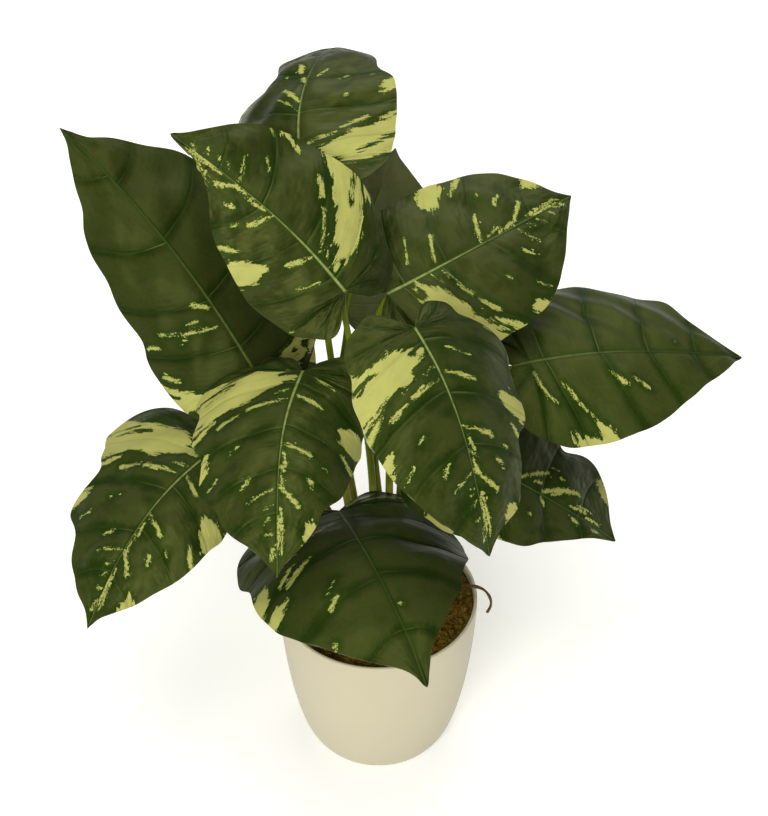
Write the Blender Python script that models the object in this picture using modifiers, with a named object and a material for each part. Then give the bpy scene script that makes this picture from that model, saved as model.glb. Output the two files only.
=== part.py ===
"""A pothos in a plain round pot: pot, soil, an aerial root, and twelve leaves on their stalks.

Metres, +Z up. The origin is the centre of the pot's foot, the front of the plant is -Y and
its right side +X. Sizes in the tables below are millimetres and degrees.
"""

import math
from typing import NamedTuple

import bmesh
import bpy
from mathutils import Vector, noise

MM = 0.001
CLEARANCE = 0.3
STALK_GAP = 0.5
POT_GAP = 0.4

POT_HEIGHT = 118.0
POT_RIM_RADIUS = 65.0
POT_FOOT_RADIUS = 44.5
POT_WALL = 2.2
POT_FLOOR = 3.0
POT_BULGE = 1.65
POT_RINGS = 9
POT_STEPS = 48

SOIL_LEVEL = 112.5
SOIL_DOME = 3.0
SOIL_BUMP = 1.6
SOIL_BUMP_SIZE = 11.0
SOIL_RINGS = (60.0, 54.0, 47.0, 40.0, 33.0, 26.0, 19.0, 12.0, 5.0)

HOLE_DEPTH = 34.0
HOLE_SIDES = 16

STALK_FOOT_RADIUS = 2.6
STALK_TOP_RADIUS = 1.7
STALK_POINTS = 12

BLADE_THICKNESS = 0.8
BLADE_COLUMNS = 4
BLADE_ROWS = 14
VEIN_FAN = 0.36
VEIN_SPACING = 1.15
VEIN_RELIEF = 0.5
EDGE_WIDTH = 0.05

ROOT_RADIUS = 1.0
ROOT_ROUTE = ((51, 4, 92), (51, 4, 100), (51, 4, 108), (51, 4, 115), (51.5, 4, 118.5),
              (54, 4, 121.3), (58.5, 3.8, 122.8), (63.5, 3.5, 122.4), (68.5, 3, 120.5), (72, 2.4, 116.5), (74, 1.8, 111.5),
              (74, 1.2, 106), (72, 0.6, 101))


class Leaf(NamedTuple):
    """One leaf: where its blade begins and ends, how wide each half is, and how it bends.

    Left and right are those of someone who stands at the stalk and looks to the tip, upper
    face up. foot is where its stalk stands in the soil. roll turns the blade about the line
    from base to tip, and raises the left half. arch and sway bow the midrib upwards and to
    the left. fold is the slope of each half at the midrib, and bend how much that slope has
    changed at the margin. full is 0 for a heart shape and 1 for a broad oval. ears says how far
    back the lobes behind the stalk reach, and lobe lifts them. waves is the number of ripples
    along each margin. edge holds the uneven places of each half's margin: how far round it, and
    how much longer the vein there is, both in percent. lean is how far the stalk heads sideways
    as it leaves the soil, rise how far it stays upright, reach how early it turns to the blade,
    and arrive its angle to the midrib there.
    """

    name: str
    foot: tuple
    base: tuple
    tip: tuple
    halves: tuple
    full: tuple = (1, 1)
    roll: float = 0
    arch: float = 10
    sway: float = 0
    sway_shift: float = 0
    fold: tuple = (0, 0)
    bend: tuple = (-25, -25)
    lobe: tuple = (0, 0)
    wave: float = 2
    waves: float = 2.5
    phase: float = 0
    ears: float = 1
    edge: tuple = ((), ())
    lean: tuple = (0, 0)
    rise: float = 0.45
    reach: float = 0.2
    arrive: float = 55


LEAVES = (
    Leaf("left", foot=(-18, 14), base=(-76, 32, 284), tip=(-197, 133, 396), halves=(61, 74),
         full=(0, 1), roll=-5, arch=8, sway=-4, fold=(-25, 0), bend=(-45, -20), lean=(-16, 0),
         edge=(((29, -4), (40, -3), (49, -13), (70, 8), (76, 10), (86, 12), (93, 20)),
               ((72, 3), (84, -7), (97, -30)))),
    Leaf("upper_left", foot=(-6, 14), base=(-19, 5, 368), tip=(-120, 58, 443), halves=(50, 53),
         full=(0, 1.5), roll=-20, arch=6, sway=-3, sway_shift=-0.5, fold=(-20, 5), bend=(-35, -25),
         lobe=(6, -14), lean=(12, 0),
         edge=(((12, 18), (30, -6), (76, -10), (83, -28), (90, -40), (95, -35)),
               ((31, -20), (37, 12), (43, 9), (50, 5)))),
    Leaf("top", foot=(-6, 22), base=(-45, 76, 405), tip=(-30, 218, 400), halves=(49, 58),
         full=(1.2, 1.2), arch=20, sway=6, sway_shift=-1, fold=(-15, 5), bend=(-35, -25), wave=6,
         waves=1.1, phase=1.8, lean=(-22, 14),
         edge=(((57, 20), (66, -30), (73, -32), (84, 34)), ((73, -12), (86, 10), (91, -10)))),
    Leaf("upper_right", foot=(5, 21), base=(6, 28, 348), tip=(122, 125, 350), halves=(59, 57),
         full=(1.2, 1.2), roll=20, arch=6, sway=-3, bend=(-15, -25), lean=(-4, 0),
         edge=(((44, -11), (54, -9), (63, -8), (73, 6), (80, 9), (89, 13)),
               ((76, -5), (83, -8), (90, -10)))),
    Leaf("right", foot=(13, 23), base=(93, 24, 298), tip=(234, 80, 255), halves=(80, 62),
         full=(0.2, 0), roll=12, arch=10, sway=-1.5, sway_shift=1.5, bend=(-35, -40), ears=1.4,
         rise=1.2, reach=0.3, arrive=10,
         edge=(((56, 11), (71, 12), (79, 48), (87, 10)), ((42, -5), (72, -5), (81, -8), (94, 12)))),
    Leaf("front_right", foot=(7, 13), base=(22, -28, 367), tip=(65, -115, 269), halves=(60, 56),
         roll=-15, arch=14, sway=-1, sway_shift=3, bend=(-30, -30), lean=(0, 12), rise=0.8, arrive=100,
         edge=(((4, -20), (15, -10), (25, -28), (35, 18), (43, 5), (67, -18), (86, 18)),
               ((3, -12), (9, 20), (20, 6), (34, -9), (51, 6), (96, 15)))),
    Leaf("front_left", foot=(-11, 6), base=(-45, 1, 310), tip=(-58, -120, 257), halves=(55, 60),
         full=(0.5, 1), roll=12, arch=10, sway=-4, sway_shift=-0.8, fold=(-15, 0), bend=(-55, -20),
         lobe=(12, -8), lean=(-8, 0),
         edge=(((2, 25), (10, 24), (42, -6), (53, -4), (77, -12), (92, 7)),
               ((12, -22), (23, -34), (33, 22), (58, -13), (74, -9), (91, -8)))),
    Leaf("low_left", foot=(-21, 6), base=(-101, 15, 235), tip=(-178, -84, 176), halves=(50, 70),
         full=(1, 0), roll=10, arch=12, sway=-4, sway_shift=-0.5, fold=(-5, 6), bend=(-45, -20),
         edge=(((45, -10), (54, -5), (83, 5), (90, 8)),
               ((20, -28), (34, 28), (40, 10), (54, -13), (65, 13), (81, 14), (90, 26)))),
    Leaf("low_front", foot=(-14, -6), base=(-24, -18, 212), tip=(29, -158, 206), halves=(74, 78),
         full=(0, 0.8), arch=20, sway=-2.5, sway_shift=-0.6, bend=(-40, -35), lobe=(10, 0),
         edge=(((7, 30), (27, -18), (36, -28), (56, 5), (72, 6), (91, -12)), ((45, -8), (96, -12)))),
    Leaf("low_right", foot=(17, 14), base=(40, -10, 262), tip=(150, -20, 188), halves=(76, 47),
         full=(1.3, 0.3), roll=10, arch=8, sway=-4, bend=(-20, -25), ears=1.6, lean=(0, 8), rise=1,
         edge=(((74, -30), (80, 14), (86, 22), (92, 32)),
               ((30, 28), (38, 12), (46, 10), (71, -9), (78, -12), (85, -14), (91, -14)))),
    Leaf("back", foot=(3, 30), base=(-22, 114, 260), tip=(11, 150, 369), halves=(63, 40),
         full=(0.7, 0.5), roll=-124, arch=8, bend=(-25, 10), lean=(-52, 40)),
    Leaf("back_left", foot=(-16, 22), base=(-87, 67, 242), tip=(-100, 190, 243), halves=(52, 52),
         bend=(-35, -35), lean=(-10, 10)),
)

# The margin of one half of a blade, from the stalk round the lobe to the tip: how far along
# the midrib, in its lengths, and how far across, in half widths.
HEART_MARGIN = ((0, 0), (-0.055, 0.13), (-0.105, 0.36), (-0.085, 0.66), (0, 0.92), (0.13, 1),
                (0.27, 0.97), (0.41, 0.88), (0.54, 0.74), (0.66, 0.56), (0.77, 0.37),
                (0.865, 0.19), (0.935, 0.075), (1, 0))
OVAL_MARGIN = ((0, 0), (-0.055, 0.13), (-0.105, 0.36), (-0.085, 0.66), (0, 0.9), (0.14, 1),
               (0.3, 1.02), (0.45, 0.98), (0.58, 0.88), (0.7, 0.71), (0.8, 0.5), (0.88, 0.28),
               (0.945, 0.1), (1, 0))


def clear_scene():
    for obj in list(bpy.data.objects):
        bpy.data.objects.remove(obj)


def new_collection(name):
    collection = bpy.data.collections.new(name)
    bpy.context.scene.collection.children.link(collection)
    return collection


def new_material(name, colour, roughness):
    material = bpy.data.materials.new(name)
    material.use_nodes = True
    shader = material.node_tree.nodes["Principled BSDF"]
    shader.inputs["Base Color"].default_value = (*colour, 1)
    shader.inputs["Roughness"].default_value = roughness
    shader.inputs["Metallic"].default_value = 0
    return material


def new_object(name, data, collection, material=None):
    obj = bpy.data.objects.new(name, data)
    collection.objects.link(obj)
    if material:
        data.materials.append(material)
    return obj


def solid_of(obj, name, collection, material=None):
    """A plain mesh object with what obj looks like once its modifiers are worked out."""
    bpy.context.view_layer.update()
    graph = bpy.context.evaluated_depsgraph_get()
    mesh = bpy.data.meshes.new_from_object(obj.evaluated_get(graph))
    mesh.name = name
    bpy.data.objects.remove(obj)
    mesh.materials.clear()
    return new_object(name, mesh, collection, material)


def turned(name, profile, steps, collection, material=None):
    """The profile, points of radius and height in millimetres, turned about the Z axis."""
    mesh = bpy.data.meshes.new(name)
    points = [(radius * MM, 0, height * MM) for radius, height in profile]
    mesh.from_pydata(points, [(i, i + 1) for i in range(len(points) - 1)], [])
    obj = new_object(name, mesh, collection, material)
    screw = obj.modifiers.new("Turn", "SCREW")
    screw.steps = steps
    screw.render_steps = steps
    screw.use_merge_vertices = True
    screw.merge_threshold = 1e-5
    return obj


def pot_radius(height):
    """Outer radius of the pot at a height: it swells quickly above the foot and is upright at the rim."""
    share = min(max(height / POT_HEIGHT, 0), 1)
    swell = (1 - (1 - share) ** POT_BULGE) ** (1 / POT_BULGE)
    return POT_FOOT_RADIUS + (POT_RIM_RADIUS - POT_FOOT_RADIUS) * swell


def wall_heights(bottom, top):
    """Heights up the pot's wall, closest together near the foot, where it curves most."""
    for ring in range(POT_RINGS + 1):
        yield bottom + (top - bottom) * (ring / POT_RINGS) ** 1.6


def make_pot(collection):
    lip = POT_WALL / 2
    outside = [(pot_radius(z), z) for z in wall_heights(1.2, POT_HEIGHT - lip)]
    inside = [(pot_radius(z) - POT_WALL, z) for z in wall_heights(POT_FLOOR, POT_HEIGHT - lip)]
    rim = [(POT_RIM_RADIUS - lip + lip * math.cos(a), POT_HEIGHT - lip + lip * math.sin(a))
           for a in (math.radians(120), math.radians(90), math.radians(60))]
    foot = [(POT_FOOT_RADIUS - 1.0, 0), (0, 0)]
    profile = [(0, POT_FLOOR)] + inside + rim + outside[::-1] + foot
    material = new_material("pot", (0.66, 0.61, 0.44), 0.42)
    turned("pot", profile, POT_STEPS, collection, material)


def soil_height(x, y):
    """Height of the soil's surface: a low dome with soft bumps."""
    dome = SOIL_DOME * (1 - (x * x + y * y) / POT_RIM_RADIUS**2)
    place = Vector((x / SOIL_BUMP_SIZE, y / SOIL_BUMP_SIZE, 3.7))
    return SOIL_LEVEL + dome + SOIL_BUMP * noise.noise(place)


def make_soil(collection, cutters):
    gap = POT_WALL + POT_GAP
    side = [(pot_radius(z) - gap, z) for z in wall_heights(POT_FLOOR + POT_GAP, SOIL_LEVEL)]
    top = [(radius, SOIL_LEVEL) for radius in SOIL_RINGS] + [(0, SOIL_LEVEL)]
    profile = top[::-1] + side[::-1] + [(0, POT_FLOOR + POT_GAP)]
    lathe = turned("soil_lathe", profile, POT_STEPS, cutters)
    soil = solid_of(lathe, "soil", collection, new_material("soil", (0.06, 0.032, 0.008), 0.95))
    for vertex in soil.data.vertices:
        if vertex.co.z > (SOIL_LEVEL - 0.01) * MM:
            vertex.co.z = soil_height(vertex.co.x / MM, vertex.co.y / MM) * MM
    cut_holes(soil, cutters)


def cut_holes(soil, cutters):
    """One plain upright hole for each stalk, and one for the aerial root."""
    clear = CLEARANCE / math.cos(math.pi / HOLE_SIDES)
    feet = [(leaf.foot, STALK_FOOT_RADIUS + clear, SOIL_LEVEL - HOLE_DEPTH) for leaf in LEAVES]
    feet.append((ROOT_ROUTE[0][:2], ROOT_RADIUS + 2 * clear, ROOT_ROUTE[0][2] - CLEARANCE))
    mesh = bpy.data.meshes.new("holes")
    shape = bmesh.new()
    for (x, y), radius, bottom in feet:
        height = SOIL_LEVEL + 20 - bottom
        made = bmesh.ops.create_cone(shape, cap_ends=True, segments=HOLE_SIDES, radius1=radius * MM,
                                     radius2=radius * MM, depth=height * MM)
        centre = Vector((x, y, bottom + height / 2)) * MM
        bmesh.ops.translate(shape, verts=made["verts"], vec=centre)
    shape.to_mesh(mesh)
    shape.free()
    holes = new_object("holes", mesh, cutters)
    holes.hide_render = True
    holes.display_type = "WIRE"
    cut = soil.modifiers.new("Holes", "BOOLEAN")
    cut.operation = "DIFFERENCE"
    cut.solver = "EXACT"
    cut.object = holes


def blend(points, share):
    """Point of a smooth curve through the points, share 0 at the first and 1 at the last."""
    last = len(points) - 1
    at = min(max(share, 0), 1) * last
    i = min(int(at), last - 1)
    f = at - i
    first_ghost = 2 * points[0] - points[1]
    last_ghost = 2 * points[-1] - points[-2]
    a = points[i - 1] if i else first_ghost
    b, c = points[i], points[i + 1]
    d = points[i + 2] if i + 2 <= last else last_ghost
    return 0.5 * (2 * b + (c - a) * f + (2 * a - 5 * b + 4 * c - d) * f**2
                  + (3 * b - a - 3 * c + d) * f**3)


class Blade:
    """Places points of a leaf's flat pattern in space."""

    def __init__(self, leaf):
        self.leaf = leaf
        self.base = Vector(leaf.base)
        self.chord = Vector(leaf.tip) - self.base
        forward = self.chord.normalized()
        level = Vector((0, 0, 1)).cross(forward).normalized()
        roll = math.radians(leaf.roll)
        self.left = level * math.cos(roll) + forward.cross(level) * math.sin(roll)
        self.up = forward.cross(self.left)
        steps = 60
        line = [self.midrib(i / steps) for i in range(steps + 1)]
        self.length = sum((b - a).length for a, b in zip(line, line[1:]))
        self.margins = [self.margin_of(full, leaf.ears) for full in leaf.full]

    def midrib(self, t):
        """The midrib's point at share t of the way from base to tip, and beyond the base below 0."""
        bow = 4 * t * (1 - t)
        shift = 1 + self.leaf.sway_shift * (2 * t - 1)
        return (self.base + self.chord * t + self.up * (self.leaf.arch * bow)
                + self.left * (self.leaf.sway * bow * shift))

    def frame(self, t):
        """Forward, left and up directions of the blade at the midrib's share t."""
        step = 1e-3
        forward = (self.midrib(t + step) - self.midrib(t - step)).normalized()
        left = (self.left - forward * self.left.dot(forward)).normalized()
        return forward, left, forward.cross(left)

    @staticmethod
    def margin_of(full, ears):
        """The margin's points for this shape, evenly spaced by their length along it."""
        knots = []
        for heart, oval in zip(HEART_MARGIN, OVAL_MARGIN):
            x, y = Vector(heart) + (Vector(oval) - Vector(heart)) * full
            knots.append(Vector((x * ears if x < 0 else x, y)))
        fine = [blend(knots, i / 400) for i in range(401)]
        steps = [math.hypot(b.x - a.x, 0.37 * (b.y - a.y)) for a, b in zip(fine, fine[1:])]
        total = sum(steps)
        even, run, wanted = [], 0.0, 0
        for point, step in zip(fine, steps + [0]):
            while wanted <= 200 and run >= total * wanted / 200 - 1e-9:
                even.append(point)
                wanted += 1
            run += step
        return even

    def stretch(self, p, side):
        """How much longer the vein at share p is for the uneven margin, as a share."""
        return sum(more / 100 * math.exp(-(((p - at / 100) / EDGE_WIDTH) ** 2))
                   for at, more in self.leaf.edge[side])

    def pattern(self, p, v, side):
        """Flat place of share p round the margin and v out along the vein that ends there."""
        v *= 1 + self.stretch(p, side) * v * v
        margin = self.margins[side]
        at = p * (len(margin) - 1)
        i = min(int(at), len(margin) - 2)
        edge = margin[i].lerp(margin[i + 1], at - i)
        root = max(0.0, (p - VEIN_FAN) / (1 - VEIN_FAN)) ** VEIN_SPACING
        bow = root + 0.22 * (edge.x - root)
        x = (1 - v) ** 2 * root + 2 * v * (1 - v) * bow + v * v * edge.x
        y = 2 * v * (1 - v) * 0.6 * edge.y + v * v * edge.y
        return x, y

    def place(self, x, y, side, relief=0.0):
        """Point in space, in millimetres, of the flat pattern's x (lengths) and y (half widths)."""
        leaf = self.leaf
        half = leaf.halves[side]
        _, left, up = self.frame(x)
        fold = math.radians(leaf.fold[side])
        turn = math.radians(leaf.bend[side]) * y
        reach = half * y
        if abs(turn) > 1e-6:
            out = reach * (math.sin(fold + turn) - math.sin(fold)) / turn
            rise = reach * (math.cos(fold) - math.cos(fold + turn)) / turn
        else:
            out = reach * math.cos(fold)
            rise = reach * math.sin(fold)
        ripple = leaf.wave * y * y * math.sin(2 * math.pi * leaf.waves * x + leaf.phase + 2 * side)
        lobe = leaf.lobe[side] * y * min(max((0.25 - x) / 0.35, 0), 1.2) ** 2
        hand = 1 if side == 0 else -1
        return self.midrib(x) + left * (hand * out) + up * (rise + ripple + lobe + relief)


def make_leaf(leaf, collection, material):
    """An open sheet of triangles between the veins, then given its thickness below."""
    blade = Blade(leaf)
    shape = bmesh.new()
    known = {}

    def corner(side, row, column):
        p = row / BLADE_ROWS
        v = column / BLADE_COLUMNS
        x, y = blade.pattern(p, v, side)
        on_midrib = column == 0 or row in (0, BLADE_ROWS)
        key = ("midrib", round(x, 5)) if on_midrib else (side, row, column)
        if key not in known:
            relief = 0.0 if row % 2 or on_midrib else VEIN_RELIEF * math.sin(math.pi * min(v, 0.9))
            known[key] = shape.verts.new(blade.place(x, y, side, relief) * MM)
        return known[key]

    for side in (0, 1):
        for row in range(BLADE_ROWS):
            for column in range(BLADE_COLUMNS):
                a, b = corner(side, row, column), corner(side, row + 1, column)
                c, d = corner(side, row + 1, column + 1), corner(side, row, column + 1)
                for points in ((a, b, c), (a, c, d)):
                    if len(set(points)) == 3:
                        shape.faces.new(points if side == 0 else points[::-1])
    bmesh.ops.recalc_face_normals(shape, faces=shape.faces)
    mesh = bpy.data.meshes.new("leaf_" + leaf.name)
    shape.normal_update()
    if sum((face.normal.dot(blade.up) * face.calc_area() for face in shape.faces)) < 0:
        bmesh.ops.reverse_faces(shape, faces=shape.faces)
    shape.to_mesh(mesh)
    shape.free()
    mesh.shade_smooth()
    obj = new_object("leaf_" + leaf.name, mesh, collection, material)
    thicken = obj.modifiers.new("Thickness", "SOLIDIFY")
    thicken.thickness = BLADE_THICKNESS * MM
    thicken.offset = -1


def stalk_route(leaf):
    """The stalk's centre line: upright in its hole, then one smooth sweep to just under the blade."""
    blade = Blade(leaf)
    forward, _, up = blade.frame(0)
    angle = math.radians(leaf.arrive)
    arrival = forward * math.cos(angle) + up * math.sin(angle)
    fold = math.radians(max(0, -min(leaf.fold)))
    drop = BLADE_THICKNESS + STALK_GAP + STALK_TOP_RADIUS * (abs(math.cos(angle)) + math.tan(fold))
    end = blade.base + forward * 2 - up * drop
    x, y = leaf.foot
    start = Vector((x, y, SOIL_LEVEL + 4))
    span = (end - start).length
    lean = Vector((*leaf.lean, span * leaf.rise))
    handles = (start, start + lean, end - arrival * (span * leaf.reach), end)
    route = [Vector((x, y, SOIL_LEVEL - HOLE_DEPTH + CLEARANCE))]
    for i in range(STALK_POINTS):
        t = i / (STALK_POINTS - 1)
        a, b, c, d = ((1 - t) ** 3, 3 * t * (1 - t) ** 2, 3 * t * t * (1 - t), t**3)
        route.append(handles[0] * a + handles[1] * b + handles[2] * c + handles[3] * d)
    return route


def make_tube(name, route, radii, collection, material):
    """A round tube along the route, with its own radius at each point, both in millimetres."""
    curve = bpy.data.curves.new(name, "CURVE")
    curve.dimensions = "3D"
    curve.bevel_depth = MM
    curve.bevel_resolution = 2
    curve.use_fill_caps = True
    spline = curve.splines.new("POLY")
    spline.points.add(len(route) - 1)
    for point, place, radius in zip(spline.points, route, radii):
        point.co = (*(Vector(place) * MM), 1)
        point.radius = radius
    new_object(name, curve, collection, material)


def make_stalk(leaf, collection, material):
    route = stalk_route(leaf)
    last = len(route) - 1
    taper = STALK_TOP_RADIUS - STALK_FOOT_RADIUS
    radii = [STALK_FOOT_RADIUS + taper * max(0, i - 1) / (last - 1) for i in range(last + 1)]
    make_tube("petiole_" + leaf.name, route, radii, collection, material)


def make_root(collection):
    """The aerial root: out of the soil, over the rim and down the outside."""
    knots = [Vector(place) for place in ROOT_ROUTE]
    count = 26
    route = [blend(knots, i / (count - 1)) for i in range(count)]
    radii = [ROOT_RADIUS * (1 if i < count * 0.6 else 1.3 - 0.5 * i / count) for i in range(count)]
    material = new_material("root", (0.07, 0.035, 0.015), 0.7)
    make_tube("aerial_root", route, radii, collection, material)


def main():
    clear_scene()
    parts = new_collection("potted_pothos")
    cutters = new_collection("cutters")
    make_pot(parts)
    make_soil(parts, cutters)
    make_root(parts)
    stalk_green = new_material("stalk", (0.09, 0.13, 0.008), 0.5)
    for leaf in LEAVES:
        leaf_green = new_material("leaf_" + leaf.name, (0.035, 0.06, 0.012), 0.4)
        make_leaf(leaf, parts, leaf_green)
        make_stalk(leaf, parts, stalk_green)


main()
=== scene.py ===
"""Looks of the potted pothos: printed and veined leaves, stalks, aerial root, mossy filling and pot.

The file is laid out as a Blender add-on and run as a script. Lengths in the tables are millimetres
and angles degrees; everything made in Blender is in metres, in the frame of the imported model.
"""

import math
from typing import NamedTuple

import bpy
import numpy as np
from bpy.props import FloatProperty, FloatVectorProperty, IntProperty, PointerProperty
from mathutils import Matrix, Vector


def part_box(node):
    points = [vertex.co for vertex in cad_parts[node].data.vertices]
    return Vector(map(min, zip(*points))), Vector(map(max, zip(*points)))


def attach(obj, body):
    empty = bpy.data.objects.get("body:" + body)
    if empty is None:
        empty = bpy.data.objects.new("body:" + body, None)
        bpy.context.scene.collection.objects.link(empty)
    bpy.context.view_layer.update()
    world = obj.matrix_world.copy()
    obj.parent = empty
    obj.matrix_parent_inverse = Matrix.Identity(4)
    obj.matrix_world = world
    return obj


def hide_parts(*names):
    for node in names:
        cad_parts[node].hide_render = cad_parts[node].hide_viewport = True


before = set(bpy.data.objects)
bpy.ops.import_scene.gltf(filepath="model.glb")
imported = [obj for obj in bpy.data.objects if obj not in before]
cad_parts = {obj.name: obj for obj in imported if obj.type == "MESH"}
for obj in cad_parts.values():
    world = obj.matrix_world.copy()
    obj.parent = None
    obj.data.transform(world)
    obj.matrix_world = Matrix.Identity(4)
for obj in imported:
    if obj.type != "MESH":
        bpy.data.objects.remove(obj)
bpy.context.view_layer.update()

bl_info = {
    "name": "Potted Pothos",
    "version": (1, 0, 0),
    "blender": (4, 5, 0),
    "location": "View3D > Sidebar > Pothos",
    "description": "Builds a variegated pothos in a plain round pot",
    "category": "Add Mesh",
}

MM = 0.001
BODY = "root"

# Veins of each half, the share of the margin whose veins start at the stalk, how the starts of
# the others crowd along the midrib, and how far and how full each vein bows towards the tip.
VEINS = 7
VEIN_FAN = 0.36
VEIN_SPACING = 1.15
VEIN_BOW = 0.22
VEIN_FULLNESS = 0.6

# Width of one uneven place, as a share of the margin, and the usual half width of a blade, in its
# lengths, by which the points of the margin are spaced.
EDGE_WIDTH = 0.05
USUAL_HALF = 0.37

VEIN_MAP = "veins"
FLAT_MAP = "flat"


# Data: the plant

class Leaf(NamedTuple):
    """One leaf: where its blade begins and ends, how wide each half is, how it bends, and its print.

    Left and right are those of someone who stands at the stalk and looks to the tip, upper face
    up. foot is where its stalk stands in the filling. roll turns the blade about the line from
    base to tip. arch and sway bow the midrib upwards and to the left. fold is the slope of each
    half at the midrib, and bend how much that slope has changed at the margin. full is 0 for a
    heart shape and 1 for a broad oval. ears says how far back the lobes reach, and lobe lifts
    them. edge holds the uneven places of each half's margin: how far round it, and how much
    longer the vein there is, both in percent. lean, rise, reach and arrive shape the stalk.
    marks names the print, and tone lightens or darkens the green of the whole leaf: painted light
    and shade, for a leaf that lies in more light or in more shade. rim says how pale the cut margin
    is. slip moves the print towards the tip, in percent: for the left half at the midrib and at the
    margin, then for the right half. closed is 1 for lobes that meet behind the stalk.
    """

    name: str
    foot: tuple
    base: tuple
    tip: tuple
    halves: tuple
    full: tuple = (1, 1)
    roll: float = 0
    arch: float = 10
    sway: float = 0
    sway_shift: float = 0
    fold: tuple = (0, 0)
    bend: tuple = (-25, -25)
    lobe: tuple = (0, 0)
    wave: float = 2
    waves: float = 2.5
    phase: float = 0
    ears: float = 1
    edge: tuple = ((), ())
    lean: tuple = (0, 0)
    rise: float = 0.45
    reach: float = 0.2
    arrive: float = 55
    marks: str = "bright"
    slip: tuple = ((0, 0), (0, 0))
    tone: float = 1
    rim: float = 0.1
    closed: float = 0


LEAVES = (
    Leaf("left", foot=(-18, 14), base=(-76, 32, 284), tip=(-197, 133, 396), halves=(61, 74),
         full=(0, 1), roll=-5, arch=8, sway=-4, fold=(-25, 0), bend=(-45, -20), lean=(-16, 0),
         edge=(((29, -4), (40, -3), (49, -13), (70, 8), (76, 10), (86, 12), (93, 20)),
               ((18, -17), (25, -17), (72, 3), (84, -7), (97, -30))),
         marks="long", tone=0.87),
    Leaf("upper_left", foot=(-6, 14), base=(-19, 5, 368), tip=(-120, 58, 443), halves=(50, 53),
         full=(0, 1.5), roll=-20, arch=6, sway=-3, sway_shift=-0.5, fold=(-20, 5), bend=(-35, -25),
         lobe=(6, -14), lean=(12, 0),
         edge=(((12, 18), (30, -6), (76, -10), (83, -28), (90, -40), (95, -35)),
               ((31, -20), (37, 12), (43, 9), (50, 5))),
         marks="steep", slip=((0, -4), (0, 0)), tone=0.8),
    Leaf("top", foot=(-6, 22), base=(-45, 76, 405), tip=(-30, 218, 400), halves=(49, 58),
         full=(1.2, 1.2), arch=20, sway=6, sway_shift=-1, fold=(-15, 5), bend=(-35, -25), wave=6,
         waves=1.1, phase=1.8, lean=(-22, 14),
         edge=(((57, 20), (66, -30), (73, -32), (84, 34)), ((73, -12), (86, 10), (91, -10))),
         marks="banded"),
    Leaf("upper_right", foot=(5, 21), base=(6, 28, 348), tip=(122, 125, 350), halves=(59, 57),
         full=(1.2, 1.2), roll=20, arch=6, sway=-3, bend=(-15, -25), lean=(-4, 0),
         edge=(((44, -11), (54, -9), (63, -8), (73, 6), (80, 9), (89, 13)),
               ((76, -5), (83, -8), (90, -10))),
         slip=((3, 2.5), (2, 1)), tone=0.85),
    Leaf("right", foot=(13, 23), base=(93, 24, 298), tip=(234, 80, 255), halves=(80, 62),
         full=(0.2, 0), roll=12, arch=10, sway=-1.5, sway_shift=1.5, bend=(-35, -40), ears=1.4,
         rise=1.2, reach=0.3, arrive=10,
         edge=(((56, 11), (71, 12), (79, 48), (87, 10)), ((42, -5), (72, -5), (81, -8), (94, 12))),
         marks="thin", tone=1.25, closed=0.85),
    Leaf("front_right", foot=(7, 13), base=(22, -28, 367), tip=(65, -115, 269), halves=(60, 56),
         roll=-15, arch=14, sway=-1, sway_shift=3, bend=(-30, -30), lean=(0, 12), rise=0.8, arrive=100,
         edge=(((4, -20), (15, -10), (25, -28), (35, 18), (43, 5), (67, -18), (86, 18)),
               ((3, -12), (9, 20), (20, 6), (34, -9), (51, 6), (96, 15))),
         rim=0.7),
    Leaf("front_left", foot=(-11, 6), base=(-45, 1, 310), tip=(-58, -120, 257), halves=(55, 60),
         full=(0.5, 1), roll=12, arch=10, sway=-4, sway_shift=-0.8, fold=(-15, 0), bend=(-55, -20),
         lobe=(12, -8), lean=(-8, 0),
         edge=(((2, 25), (10, 24), (42, -6), (53, -4), (77, -12), (92, 7)),
               ((12, -22), (23, -34), (33, 22), (58, -13), (74, -9), (91, -8))),
         slip=((-6, -13), (-6, -2)), tone=1.08),
    Leaf("low_left", foot=(-21, 6), base=(-101, 15, 235), tip=(-178, -84, 176), halves=(50, 70),
         full=(1, 0), roll=10, arch=12, sway=-4, sway_shift=-0.5, fold=(-5, 6), bend=(-45, -20),
         edge=(((45, -10), (54, -5), (83, 5), (90, 8)),
               ((20, -28), (34, 28), (40, 10), (54, -13), (65, 13), (81, 14), (90, 26))),
         slip=((-1, -5), (-2, -1)), tone=1.1),
    Leaf("low_front", foot=(-14, -6), base=(-24, -18, 212), tip=(29, -158, 206), halves=(74, 78),
         full=(0, 0.8), arch=20, sway=-2.5, sway_shift=-0.6, bend=(-40, -35), lobe=(10, 0),
         edge=(((7, 30), (27, -18), (36, -28), (56, 5), (72, 6), (91, -12)), ((45, -8), (96, -12))),
         marks="dark", tone=1.15),
    Leaf("low_right", foot=(17, 14), base=(40, -10, 262), tip=(150, -20, 188), halves=(76, 47),
         full=(1.3, 0.3), roll=10, arch=8, sway=-4, bend=(-20, -25), ears=1.6, lean=(0, 8), rise=1,
         edge=(((74, -30), (80, 14), (86, 22), (92, 32)),
               ((30, 28), (38, 12), (46, 10), (71, -9), (78, -12), (85, -14), (91, -14))),
         marks="flecked"),
    Leaf("back", foot=(3, 30), base=(-22, 114, 260), tip=(11, 150, 369), halves=(63, 40),
         full=(0.7, 0.5), roll=-124, arch=8, bend=(-25, 10), lean=(-52, 40)),
    Leaf("back_left", foot=(-16, 22), base=(-87, 67, 242), tip=(-100, 190, 243), halves=(52, 52),
         bend=(-35, -35), lean=(-10, 10), marks="back"),
)

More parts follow.
